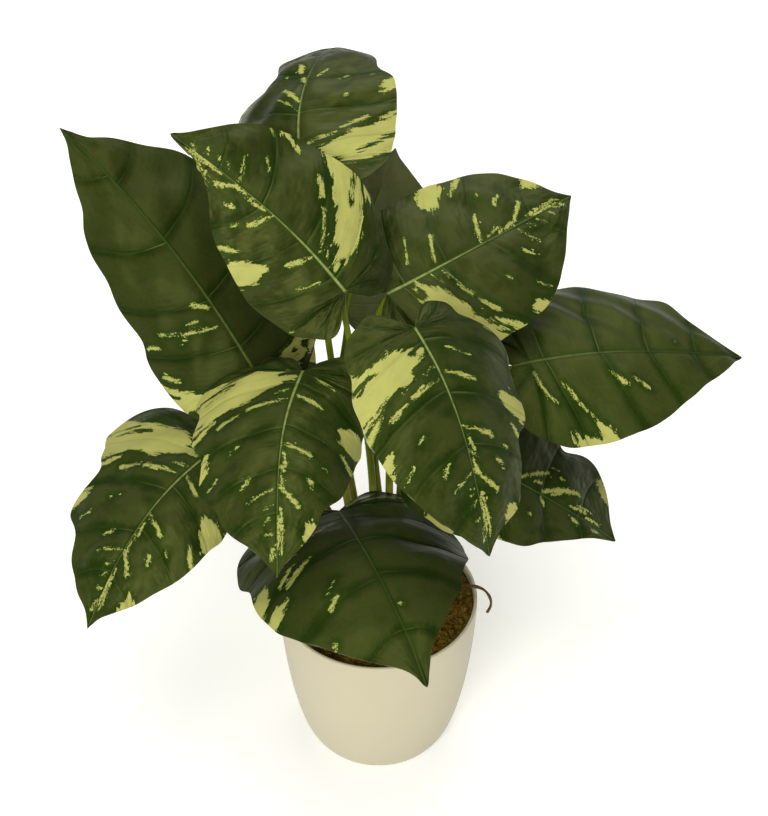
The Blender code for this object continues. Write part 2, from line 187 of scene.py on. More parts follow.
# The margin of one half of a blade, from the stalk round the lobe to the tip: how far along the
# midrib, in its lengths, and how far across, in half widths.
HEART_MARGIN = ((0, 0), (-0.055, 0.13), (-0.105, 0.36), (-0.085, 0.66), (0, 0.92), (0.13, 1),
                (0.27, 0.97), (0.41, 0.88), (0.54, 0.74), (0.66, 0.56), (0.77, 0.37),
                (0.865, 0.19), (0.935, 0.075), (1, 0))
OVAL_MARGIN = ((0, 0), (-0.055, 0.13), (-0.105, 0.36), (-0.085, 0.66), (0, 0.9), (0.14, 1),
               (0.3, 1.02), (0.45, 0.98), (0.58, 0.88), (0.7, 0.71), (0.8, 0.5), (0.88, 0.28),
               (0.945, 0.1), (1, 0))

# The halves of a blade, and the sign of the way across for each.
LEFT, RIGHT = 0, 1
HAND = (1, -1)


class Half(NamedTuple):
    """The cream print of one half of a blade, in percent round the margin and out along the vein.

    A patch is an outline. A streak is a start, an end and its widths there in millimetres, and a
    seventh number makes it that much fainter. Holes are streaks that stay green.
    """

    patches: tuple = ()
    streaks: tuple = ()
    holes: tuple = ()


BRIGHT_LEFT = Half(
    patches=(
        ((57, 55), (54, 72), (53, 90), (54, 106), (59, 106), (62, 92), (61, 78), (60, 66)),
        ((85, 75), (85.5, 90), (86, 106), (91, 106), (89, 85)),
    ),
    streaks=(
        (44, 15, 46, 40, 1, 1), (52, 5, 54, 32, 1.6, 3.2), (64, 72, 66.5, 98, 1.6, 4),
        (67.5, 2, 69.5, 38, 1.2, 3.2), (74, 2, 75, 8, 1.8, 1.8), (75.5, 42, 76.5, 52, 2.2, 2.2),
        (71, 55, 71.5, 65, 1.2, 1.2), (79, 1, 83.5, 42, 1.4, 3.4), (77.5, 53, 77.5, 57, 1.4, 1.4),
        (31, 92, 32, 98, 1.4, 1.6), (70, 4, 74, 9, 1.2, 1.6), (76, 4, 80, 9, 1.4, 1.6),
        (84, 8, 92, 16, 1, 1.4), (88, 14, 95, 32, 1, 1), (86, 3, 94, 7, 1, 1.2),
    ),
)
TIP_STREAKS = (
    (79.5, 6, 80.5, 45, 2, 1.6, 0.2), (83.5, 6, 84, 20, 1, 1, 0.2), (86, 8, 87, 30, 1.6, 1.2, 0.2),
    (90, 10, 90, 35, 1.8, 1.4, 0.1), (93, 8, 94, 30, 1.8, 1.4, 0.1),
)
MARKS = {
    "bright": (BRIGHT_LEFT, Half(
        patches=(
            ((44, 3), (43, 6), (41, 20), (38, 40), (37, 60), (36, 80), (33, 106), (50, 106), (49.5, 80),
             (49.5, 60), (49.5, 40), (48, 22), (45, 4)),
            ((60, 88), (60, 106), (66, 106), (64, 92), (63, 88)),
        ),
        streaks=(
            (51, 74, 53, 104, 2, 5), (50, 3, 50.5, 15, 1.2, 1.6), (53.5, 4, 54, 38, 1, 3.2),
            (54, 46, 54.5, 68, 1.8, 3.6), (64, 45, 64.5, 55, 1.2, 1.2, 0.2),
            (68, 75, 69, 90, 1.8, 1.8, 0.2), (74, 35, 75.5, 50, 2, 2), (95, 15, 95.5, 50, 1.6, 2),
            *TIP_STREAKS,
        ),
        holes=(
            (38, 101, 40, 62, 5, 2, 0.2), (48, 104, 48.5, 84, 3, 1.2), (43, 8, 42.5, 19, 1, 3),
        ),
    )),
    "steep": (BRIGHT_LEFT, Half(
        patches=(
            ((44, 3), (43, 8), (42, 20), (41.5, 35), (41, 50), (42.5, 65), (43, 75), (41, 85),
             (38.5, 95), (38.5, 106), (56.5, 106), (55, 80), (53, 60), (50.5, 40), (48, 22), (45, 4)),
            ((69.5, 103), (66.5, 103), (64.5, 84), (66, 82)),
        ),
        streaks=(
            (72.5, 97, 71.5, 88, 2, 1), (59, 66, 57, 50, 3, 4), (51, 6, 55.5, 40, 1.6, 2),
            (48.5, 8, 49.5, 14, 1.2, 1.2), (74, 56, 73, 42, 1.6, 1), *TIP_STREAKS,
        ),
        holes=(
            (45.5, 100, 46.5, 70, 5, 3), (41, 103, 42.5, 88, 3, 1.5), (43, 8, 42.5, 19, 1, 3),
        ),
    )),
    "banded": (Half(
        patches=(
            ((54, 106), (54, 93), (56, 92), (59, 86), (61, 84), (61, 106)),
        ),
        streaks=(
            (60.5, 2, 65, 27, 2.2, 3), (57.5, 4, 60.5, 30, 1, 1.2), (69, 2, 71, 6, 3, 3),
            (74, 14, 77, 22, 4, 3), (71.5, 36, 72, 38, 1.6, 1.6), (85, 95, 90, 102, 3, 4),
        ),
        holes=(
            (56, 104, 58, 92, 2.4, 2.4),
        ),
    ), Half(
        patches=(
            ((41.5, 18), (43, 30), (43.5, 40), (45.5, 50), (46, 60), (47, 80), (50, 106), (31, 106),
             (30, 95), (29, 80), (26, 60), (26, 40), (30, 25)),
            ((60.5, 80), (60.5, 106), (66.5, 106), (64, 88), (62, 80)),
        ),
        streaks=(
            (47.5, 38, 50.5, 66, 2, 3), (44.5, 8, 46, 33, 2.2, 2), (48.5, 80, 51.5, 106, 2, 3),
            (69, 36, 70.5, 48, 1.5, 2.2), (60, 42, 60.3, 46, 1.2, 1.2), (68.5, 76, 69, 81, 1.4, 1.4),
            (71.5, 10, 75, 22, 1, 1.2),
        ),
        holes=(
            (34.5, 58, 38, 80, 2, 3.4), (38, 80, 42, 104, 3.4, 2.4), (33, 22, 28, 38, 2, 3),
        ),
    )),
    "back": (Half(
        patches=(
            ((50, 80), (48, 106), (58, 106), (57, 80), (54, 60)),
        ),
        streaks=(
            (62, 30, 66, 60, 2, 3), (74, 10, 80, 40, 1.6, 2),
        ),
    ), Half(
        patches=(
            ((54, 74), (52, 86), (50, 102), (40, 102), (42, 80), (43, 60), (43.5, 48), (47, 52),
             (50, 62)),
        ),
        streaks=(
            (41, 25, 47, 35, 2, 3), (70, 10, 74, 50, 1.6, 2),
        ),
        holes=(
            (49, 80, 48, 95, 4, 3),
        ),
    )),
    "flecked": (Half(
        patches=(
            ((86.5, 85), (87, 104), (92.5, 104), (91, 88), (88.5, 84)),
            ((40, 80), (39, 106), (50, 106), (50, 85), (47, 70), (44, 72)),
        ),
        streaks=(
            (65, 5, 72.5, 28, 2, 3), (72, 37, 75.5, 40, 1.2, 1.4), (76.5, 31, 78, 33, 1.6, 1.6),
            (69, 8, 71.5, 11, 1.6, 1.6), (73, 4, 83.5, 32, 3, 4), (75.5, 5, 78, 13, 2, 2),
            (82, 6, 88, 14, 1.2, 1.4), (88, 6, 93, 14, 1.4, 1.4), (84, 14, 90, 26, 1.1, 1.1),
            (43, 20, 52, 40, 2, 3),
        ),
    ), Half(
        patches=(
            ((38, 40), (34, 106), (42, 106), (44, 70), (46, 30), (44, 10)),
        ),
        streaks=(
            (83, 20, 84.5, 30, 2, 2), (90, 40, 92.5, 38, 2, 2), (72.5, 5, 73, 20, 2, 1.6),
            (67, 46, 67.5, 50, 1.4, 1.4), (54.5, 94, 56.5, 102, 3, 3), (58, 20, 60, 45, 1.6, 2),
        ),
    )),
    "dark": (Half(
        streaks=(
            (80, 11, 80.5, 17, 1.6, 1.4), (9, 20, 11, 90, 1, 2), (17, 30, 20, 90, 1, 1.6),
        ),
    ), Half(
        patches=(
            ((50, 79), (49.5, 92), (50, 104), (56.5, 104), (56, 94), (54, 84)),
            ((60.5, 72), (59.8, 80), (58.8, 88), (59.5, 104), (62.5, 104), (61.5, 82)),
        ),
        streaks=(
            (44, 8, 48, 35, 1.6, 2), (48, 35, 50, 62, 2, 3), (54, 36, 57, 66, 2, 4),
            (52.5, 50, 55, 72, 2, 3), (66, 33, 68.5, 50, 1.2, 2), (70, 40, 72, 58, 2, 3.8),
            (78.5, 90, 79, 98, 3, 3),
        ),
    )),
    "thin": (Half(
        streaks=(
            (80, 16, 80.5, 20, 1.2, 1.2, 0.1),
        ),
    ), Half(
        patches=(
            ((46.5, 58), (47.5, 80), (46.5, 104), (50.5, 104), (49.5, 82), (48, 62)),
            ((38.5, 78), (38, 104), (46, 104), (45.5, 94), (43, 90), (41, 87)),
        ),
        streaks=(
            (30, 12, 38, 48, 1.2, 1.6), (43, 27, 46, 58, 1.4, 2), (57.5, 23, 59.5, 43, 1.4, 2.4),
            (62.5, 37, 65, 56, 1.6, 3),
        ),
    )),
    "long": (Half(
        patches=(
            ((36, 104), (35, 92), (34.5, 80), (33, 70), (30, 58), (26, 60), (25, 80), (26, 104)),
        ),
        streaks=(
            (38.5, 90, 37.5, 72, 2.4, 3), (50, 8, 50.2, 40, 1.6, 2), (50.2, 40, 50.5, 70, 2, 1.6),
            (56.5, 18, 54.5, 5, 2.6, 2.6), (52.5, 22, 52, 34, 1.4, 1.4), (47, 75, 47, 92, 2.4, 3, 0.2),
            (47.5, 50, 50, 38, 1.2, 1.6),
        ),
        holes=(
            (31, 90, 34, 104, 2, 2.4, 0.2),
        ),
    ), Half(
        patches=(
            ((67, 88), (66, 106), (71, 106), (70, 92)),
            ((31, 57), (27, 71), (24.5, 96), (21.5, 96), (20.5, 82), (18.5, 76), (16.5, 71), (14, 64),
             (15.5, 60), (17, 49), (20.5, 31), (30, 31)),
        ),
        streaks=(
            (66, 74, 69, 92, 1.6, 2.4, 0.2),
        ),
        holes=(
            (25.5, 66, 21.5, 80, 7, 5), (23.5, 50, 22, 56, 2, 2),
        ),
    )),
}

# The aerial root's radius in metres, and its way out of the filling over the rim in millimetres.
ROOT_RADIUS = 0.001
ROOT_ROUTE = ((51, 4, 92), (51, 4, 100), (51, 4, 108), (51, 4, 115), (51.5, 4, 118.5),
              (54, 4, 121.3), (58.5, 3.8, 122.8), (63.5, 3.5, 122.4), (68.5, 3, 120.5), (72, 2.4, 116.5),
              (74, 1.8, 111.5), (74, 1.2, 106), (72, 0.6, 101))


# Settings

def length(name, description, default):
    return FloatProperty(name=name, description=description, default=default, unit="LENGTH")


def count(name, description, default):
    return IntProperty(name=name, description=description, default=default)


def tint(name, description, default):
    return FloatVectorProperty(name=name, description=description, default=default, size=3,
                               subtype="COLOR")


class PotSettings(bpy.types.PropertyGroup):
    height: length("Height", "Height of the pot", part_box("pot")[1].z)
    rim_radius: length("Rim radius", "Outer radius at the rim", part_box("pot")[1].x)
    foot_radius: length("Foot radius", "Outer radius just above the foot", 0.0445)
    wall: length("Wall", "Thickness of the wall", 0.0022)
    floor: length("Floor", "Thickness of the floor", 0.003)
    bulge: FloatProperty(name="Bulge", description="How quickly the wall swells above the foot",
                         default=1.65)
    steps: count("Steps", "Facets round the pot", 120)
    colour: tint("Colour", "Colour of the pot", (0.555, 0.505, 0.35))


class SoilSettings(bpy.types.PropertyGroup):
    level: length("Level", "Height of the filling at the wall", 0.1125)
    dome: length("Dome", "Rise of the filling towards the middle", 0.003)
    fibres: count("Fibres", "Fibre strands for each square centimetre", 22)
    chips: count("Chips", "Bark chips for each square centimetre", 7)
    seed: count("Seed", "Seed of the scattered pieces", 4)
    moss: tint("Moss", "Colour of the moss fibres", (0.17, 0.115, 0.012))
    bark: tint("Bark", "Colour of the bark", (0.2, 0.07, 0.012))
    # shade is the painted shade in the filling's low pits between the pieces.
    shade: tint("Shade", "Colour of the damp pits", (0.012, 0.006, 0.001))


class StalkSettings(bpy.types.PropertyGroup):
    foot_radius: length("Foot radius", "Stalk radius in the filling", 0.0026)
    top_radius: length("Top radius", "Stalk radius at the blade", 0.0017)
    sides: count("Sides", "Facets round a stalk", 16)
    young: tint("Green", "Colour near the blades", (0.12, 0.16, 0.004))
    old: tint("Brown", "Colour near the filling", (0.12, 0.08, 0.004))
    root: tint("Root", "Colour of the aerial root", (0.05, 0.027, 0.006))


class LeafSettings(bpy.types.PropertyGroup):
    thickness: length("Thickness", "Thickness of a blade", 0.0007)
    quilt: length("Quilting", "How far the blade swells between its veins", 0.0023)
    rows: count("Rows", "Rows of faces from one vein to the next", 18)
    columns: count("Columns", "Columns of faces from midrib to margin", 50)
    # Green and deep green are mixed as random mottling and also as painted light: deep green is painted
    # shade in the folds and by the veins, green is painted sheen on the swells.
    green: tint("Green", "Main colour of the upper face", (0.034, 0.044, 0.009))
    deep: tint("Deep green", "Darker patches of the upper face", (0.009, 0.021, 0.0015))
    # Edge green rings the marks as part of the print, and is also the painted shade along the vein
    # grooves and beside the midrib.
    edge: tint("Edge green", "Green close to the marks", (0.008, 0.03, 0.0015))
    cream: tint("Cream", "Colour of the marks", (0.415, 0.415, 0.118))
    line: tint("Veins", "Colour of the thin veins", (0.1, 0.125, 0.035))
    rib: tint("Midrib", "Colour of the midrib", (0.24, 0.29, 0.085))
    under: tint("Underside", "Colour of the lower face", (0.1, 0.115, 0.03))


class StageSettings(bpy.types.PropertyGroup):
    pitch: FloatProperty(name="Pitch", description="How far the camera looks down", unit="ROTATION",
                         default=math.radians(41.4))
    distance: length("Distance", "From the camera to the plant's middle", 1.378)
    lens: FloatProperty(name="Lens", description="Focal length in millimetres", default=100)
    floor: tint("Floor", "Colour of the floor", (0.9, 0.9, 0.9))


# Node trees

class Value:
    """A node's output that takes part in sums: each operator adds one Math node to its tree."""

    def __init__(self, graph, node, socket):
        self.graph = graph
        self.node = node
        self.socket = socket

    def out(self, name):
        """Another output of the same node."""
        return Value(self.graph, self.node, self.graph.find(self.node.outputs, name))

    def math(self, operation, *others):
        return self.graph.math(operation, self, *others)

    def __add__(self, other):
        return self.math("ADD", other)

    def __radd__(self, other):
        return self.graph.math("ADD", other, self)

    def __sub__(self, other):
        return self.math("SUBTRACT", other)

    def __rsub__(self, other):
        return self.graph.math("SUBTRACT", other, self)

    def __mul__(self, other):
        return self.math("MULTIPLY", other)

    def __rmul__(self, other):
        return self.graph.math("MULTIPLY", other, self)

    def __truediv__(self, other):
        return self.math("DIVIDE", other)

    def __rtruediv__(self, other):
        return self.graph.math("DIVIDE", other, self)

    def __abs__(self):
        return self.math("ABSOLUTE")

    def __mod__(self, other):
        return self.math("FLOORED_MODULO", other)


class Graph:
    """A node tree, of a material or of a modifier, and the one method that adds its nodes."""

    def __init__(self, tree):
        self.tree = tree

    @staticmethod
    def find(sockets, key):
        if isinstance(key, int):
            return sockets[key]
        return next(s for s in sockets if key in (s.name, s.identifier))

    def node(self, kind, settings=None, inputs=None, output=0):
        """Adds a node: its settings first, then the values or links of its sockets."""
        made = self.tree.nodes.new(kind)
        for key, value in (settings or {}).items():
            if key == "stops":
                self.set_stops(made.color_ramp, value)
            else:
                setattr(made, key, value)
        for key, value in (inputs or {}).items():
            self.feed(self.find(made.inputs, key), value)
        if not made.outputs:
            return None
        return Value(self, made, self.find(made.outputs, output))

    def feed(self, socket, value):
        if isinstance(value, Value):
            self.tree.links.new(value.socket, socket)
        elif socket.type == "RGBA" and len(value) == 3:
            socket.default_value = (*value, 1)
        else:
            socket.default_value = value

    @staticmethod
    def set_stops(ramp, stops):
        while len(ramp.elements) < len(stops):
            ramp.elements.new(1)
        for element, (place, colour) in zip(ramp.elements, stops):
            element.position = place
            element.color = (*colour, 1)

    def math(self, operation, *values):
        return self.node("ShaderNodeMath", {"operation": operation}, dict(enumerate(values)))

    def mix(self, share, first, second):
        """A colour between two colours."""
        return self.node("ShaderNodeMix", {"data_type": "RGBA"},
                         {"Factor_Float": share, "A_Color": first, "B_Color": second}, "Result_Color")

    def ramp(self, value, low, high):
        """0 at low and beyond, 1 at high and beyond, and smooth between; low may be the larger."""
        return self.node("ShaderNodeMapRange", {"interpolation_type": "SMOOTHSTEP"},
                         {"Value": value, "From Min": low, "From Max": high}, "Result")

    def vector(self, x, y, z):
        return self.node("ShaderNodeCombineXYZ", None, {"X": x, "Y": y, "Z": z})

    def split(self, vector):
        """The X, Y and Z of a vector."""
        x = self.node("ShaderNodeSeparateXYZ", None, {0: vector}, "X")
        return x, x.out("Y"), x.out("Z")

    def noise(self, place, scale, detail=2.0, roughness=0.5):
        """Noise from about -0.5 to 0.5."""
        return self.node("ShaderNodeTexNoise", None, {"Vector": place, "Scale": scale, "Detail": detail,
                                                      "Roughness": roughness}) - 0.5


class Finish(Graph):
    """A material, with the names of its Principled shader's sockets as keys."""

    def __init__(self, name):
        self.material = bpy.data.materials.new(name)
        self.material.use_nodes = True
        super().__init__(self.material.node_tree)
        self.shader = self.tree.nodes["Principled BSDF"]

    def set(self, **values):
        for name, value in values.items():
            self.feed(self.shader.inputs[name.replace("_", " ")], value)

    def bump(self, height):
        """Relief whose height is in millimetres."""
        self.set(Normal=self.node("ShaderNodeBump", None, {"Height": height, "Distance": MM}))

    def object_place(self):
        return self.node("ShaderNodeTexCoord", output="Object")

    def attribute(self, name):
        return self.node("ShaderNodeAttribute", {"attribute_name": name}, output="Fac")


# Materials

# Names of the prints of the dark, plainer leaves, and how many fine ridges lie between two veins.
PLAIN_PRINTS = ("dark", "thin", "long")
FINE_RIDGES = 10

PRINT_EDGE = (0.2, 0.28, 0.04)
CUT_EDGE = (0.45, 0.47, 0.3)
STALK_STREAK = (0.05, 0.075, 0.006)
DRY_FIBRE = (0.22, 0.16, 0.05)
POT_SPECK = (0.3, 0.24, 0.13)
LEAF_SHEEN = (0.95, 1.0, 0.3, 1.0)
STALK_SHEEN = (1.0, 0.95, 0.3, 1.0)


def scaled(colour, factor):
    return [channel * factor for channel in colour]


def leaf_fields(finish):
    """What both faces of a blade use: its two maps, the millimetres to a vein, and fine ridges."""
    flat = finish.node("ShaderNodeUVMap", {"uv_map": FLAT_MAP})
    round_margin, out, _ = finish.split(finish.node("ShaderNodeUVMap", {"uv_map": VEIN_MAP}))
    vein = abs((round_margin * VEINS + 0.5) % 1.0 - 0.5) * finish.attribute("spread") / VEINS
    ridges = round_margin * (VEINS * FINE_RIDGES * 2 * math.pi)
    return flat, round_margin, out, vein, ridges


def leaf_upper_finish(leaf, look):
    """Upper face: mottled green with the cream print, pale midrib, sunk veins and fine grain, with
    painted sheen on the swells and painted shade in the folds, in the vein grooves and beside the
    midrib.
    """
    finish = Finish("leaf_upper_" + leaf.name)
    plain = leaf.marks in PLAIN_PRINTS
    flat, round_margin, out, vein, ridges = leaf_fields(finish)

    def along_veins(across, along, shift, detail=3.0, roughness=0.65):
        """Noise that is drawn out along the veins."""
        place = finish.vector(round_margin * across, out * along, shift)
        return finish.noise(place, 1.0, detail, roughness)

    drawn = along_veins(140.0, 9.0, 1.7)
    long_drawn = along_veins(55.0, 4.0, 5.3)
    fleck = finish.ramp(along_veins(80.0, 10.0, 3.1, 2.0, 0.5), 0.12, 0.3)
    streaks = finish.attribute("streaks") + drawn * 5.4 + fleck * 3.0
    patches = finish.attribute("patches") + long_drawn * 13.0 + drawn * 5.0 + fleck * 4.0
    depth = finish.math("MAXIMUM", streaks, patches) + finish.noise(flat, 110.0, 3.0, 0.7) * 5.0
    printed = finish.ramp(depth, -0.08, 0.12)
    green_shown = 1 - printed

    broad = finish.noise(flat, 4.5, 3.0, 0.55)
    mottled = finish.noise(flat, 34.0, 4.0, 0.65)
    crease = along_veins(16.0, 2.6, 7.9, 2.0, 0.55)
    # Painted shade and sheen: where the fold noise is low the green turns deep, as shade in the folds,
    # and where it is high it turns paler, as sheen on the crests. The same noise raises the folds in the
    # bump below. The broad noise is random mottling.
    blotches_fold_shade_and_sheen = (broad * 1.6 + crease * 1.4) * (0.5 if plain else 1.0)
    weave = mottled * 0.6 + finish.noise(flat, 170.0, 2.0) * 0.9
    # Close to a vein the green is also painted deeper, as shade in the vein's groove.
    share = finish.ramp(blotches_fold_shade_and_sheen + weave + finish.ramp(vein, 0.5, 7.0) * 0.5, -0.2, 0.75)
    # tone makes the whole leaf's green lighter or darker: painted light and shade.
    base = finish.mix(share, scaled(look.deep, leaf.tone), scaled(look.green, leaf.tone))
    base = finish.mix(finish.ramp(depth, -5.5, -0.3) * 0.7, base, look.edge)
    pale = finish.ramp(finish.noise(flat, 9.0, 3.0) + mottled * 0.4, -0.4, 0.4)
    light = finish.mix(pale, look.cream, scaled(look.cream, 0.84))
    light = finish.mix(finish.ramp(depth, 1.4, 0.0) * 0.3, light, PRINT_EDGE)
    colour = finish.mix(printed, base, light)

    strength = finish.attribute("strength")
    # Painted shade: a darker green along each vein, where the bump below sinks its groove.
    vein_groove_shade = (1 - finish.ramp(vein, 0.1, 1.4)) * (1 - printed * 0.7) * strength
    colour = finish.mix(vein_groove_shade * 0.6, colour, look.edge)
    near_rib = 1 - finish.ramp(abs(out), 0.05, 0.4)
    thin_line = (1 - finish.ramp(vein, 0.15, 0.5)) * near_rib * strength
    colour = finish.mix(thin_line * 0.6 * green_shown, colour, look.line)
    midrib = abs(finish.attribute("across"))
    rib_shade = (1 - finish.ramp(midrib, 0.6, 3.0)) * green_shown
    colour = finish.mix(rib_shade * 0.6, colour, look.edge)
    rib_width = 1.2 - finish.ramp(round_margin, 0.35, 0.8) * 0.85
    rib_line = 1 - finish.ramp(midrib / rib_width, 0.45, 1.0)
    rib_broken = finish.ramp(finish.noise(flat, 22.0, 3.0), -0.4, 0.1)
    paleness = (0.3 if plain else 0.95) * (1 - finish.ramp(round_margin, 0.45, 0.8) * 0.7)
    colour = finish.mix(rib_line * rib_broken * paleness, colour, look.rib)
    cut = finish.ramp(abs(out), 0.982, 0.992) * finish.ramp(broad, 0.02, 0.2)
    colour = finish.mix(cut * leaf.rim, colour, CUT_EDGE)

    finish.set(Base_Color=colour, Roughness=0.4 + mottled * 0.16 + printed * 0.1,
               Specular_IOR_Level=0.13 if plain else 0.22, Specular_Tint=LEAF_SHEEN)
    fine_veins = finish.math("SINE", ridges + drawn * 3) * 0.015
    grain = finish.noise(flat, 230.0, 2.0) * 0.07
    groove = (1 - finish.ramp(vein, 0.0, 1.6)) * strength * -0.4
    rib = (1 - finish.ramp(midrib, 0.3, 1.1)) * 0.25
    folds = crease * (1.2 if plain else 2.2) * finish.ramp(midrib, 0.5, 5.0)
    finish.bump(groove + rib + folds + fine_veins + grain + mottled * 0.05)
    return finish.material


def leaf_under_finish(leaf, look):
    """Lower face: duller and paler, with the veins standing out."""
    finish = Finish("leaf_under_" + leaf.name)
    flat, _, _, vein, ridges = leaf_fields(finish)
    mottled = finish.noise(flat, 14.0, 4.0, 0.6)
    base = finish.mix(finish.ramp(mottled, -0.3, 0.3), scaled(look.under, 0.78), look.under)
    line = 1 - finish.ramp(vein, 0.25, 0.8)
    base = finish.mix(line * 0.4, base, look.line)
    finish.set(Base_Color=base, Roughness=0.62 + mottled * 0.1, Specular_IOR_Level=0.3)
    fine_veins = finish.math("SINE", ridges) * 0.03
    finish.bump(line * 0.22 + fine_veins + finish.noise(flat, 230.0, 2.0) * 0.06)
    return finish.material


def stalk_finish(look):
    """Smooth green stalks, browner and streaked towards the filling."""
    finish = Finish("stalk_skin")
    x, y, height = finish.split(finish.object_place())
    streaks = finish.noise(finish.vector(x * 4.0, y * 4.0, height * 0.5), 90.0, 4.0, 0.6)
    brown = finish.ramp(height + streaks * 0.09, 0.24, 0.14)
    colour = finish.mix(brown, look.young, look.old)
    colour = finish.mix(finish.ramp(streaks, -0.05, 0.35) * 0.5, colour, STALK_STREAK)
    finish.set(Base_Color=colour, Roughness=0.5 + streaks * 0.2, Specular_IOR_Level=0.25,
               Specular_Tint=STALK_SHEEN)
    finish.bump(streaks * 0.18)
    return finish.material


def root_finish(look):
    """Dark, dry, rough skin."""
    finish = Finish("root_skin")
    place = finish.object_place()
    rough = finish.noise(place, 700.0, 4.0, 0.65)
    share = finish.ramp(finish.noise(place, 120.0, 2.0) + rough * 0.5, -0.4, 0.4)
    colour = finish.mix(share, look.root, scaled(look.root, 2.6))
    finish.set(Base_Color=colour, Roughness=0.7 + rough * 0.2, Specular_IOR_Level=0.2)
    finish.bump(rough * 0.25)
    return finish.material


def soil_finish(look):
    """Moss and bark: the tone of each piece is its own, and its low pits are painted dark as shade."""
    finish = Finish("moss_and_bark")
    place = finish.object_place()
    patchy = finish.noise(place, 60.0, 3.0, 0.6)
    lumps = finish.noise(place, 280.0, 2.0, 0.6)
    fine = finish.noise(place, 900.0, 3.0, 0.6)
    tone = finish.math("MAXIMUM", finish.attribute("tone"), 0.36)
    # The lowest stops are painted shade: the dark colour and the darkened moss go where the relief below
    # is lowest.
    stops = ((0.0, look.shade), (0.28, scaled(look.moss, 0.35)), (0.5, look.moss),
             (0.68, look.bark), (0.85, scaled(look.moss, 1.2)), (1.0, DRY_FIBRE))
    colour = finish.node("ShaderNodeValToRGB", {"stops": stops},
                         {0: tone + patchy * 0.5 + lumps * 1.2 + fine * 0.8})
    finish.set(Base_Color=colour, Roughness=0.9, Specular_IOR_Level=0.08)
    finish.bump(fine * 0.4 + lumps * 1.2)
    return finish.material


def pot_finish(look):
    """Moulded, satin, warm white, with a faint haze of fine grain and specks."""
    finish = Finish("pot_white")
    place = finish.object_place()
    broad = finish.noise(place, 16.0, 3.0)
    grain = finish.noise(place, 1400.0, 2.0)
    speck = finish.ramp(finish.noise(place, 420.0, 1.0), 0.26, 0.34)
    colour = finish.mix(finish.ramp(broad, -0.4, 0.4), look.colour, scaled(look.colour, 0.95))
    colour = finish.mix(speck * 0.12, colour, POT_SPECK)
    finish.set(Base_Color=colour, Roughness=0.46 + broad * 0.12 + grain * 0.08)
    finish.bump(grain * 0.02 + broad * 0.05)
    return finish.material


# Shape of a blade

# In millimetres: the depth of the midrib's valley, its half width, how far from the stalk it is
# full, and how far from the midrib the quilting is full.
VALLEY_DEPTH = 0.7
VALLEY_WIDTH = 3.5
VALLEY_START = 12
QUILT_START = 14

# As shares of the way between two veins, of a vein and of the midrib: how far a vein's groove
# runs, how far out the quilting swells, how much the margin is worn, where the lobes begin to
# lift, and how long the lift takes.
GROOVE = 0.2
QUILT_END = 0.93
WEAR = 0.012
LOBE_START = 0.25
LOBE_RUN = 0.35


def curve_through(points, shares):
    """Points of a smooth curve through the given ones, at shares from 0 to 1 of their number."""
    known = np.vstack((2 * points[0] - points[1], points, 2 * points[-1] - points[-2]))
    at = np.clip(shares, 0, 1) * (len(points) - 1)
    i = np.minimum(at.astype(int), len(points) - 2)
    f = (at - i)[..., None]
    a, b, c, d = known[i], known[i + 1], known[i + 2], known[i + 3]
    return 0.5 * (2 * b + (c - a) * f + (2 * a - 5 * b + 4 * c - d) * f**2
                  + (3 * b - a - 3 * c + d) * f**3)


def unit(vectors):
    return vectors / np.linalg.norm(vectors, axis=-1, keepdims=True)


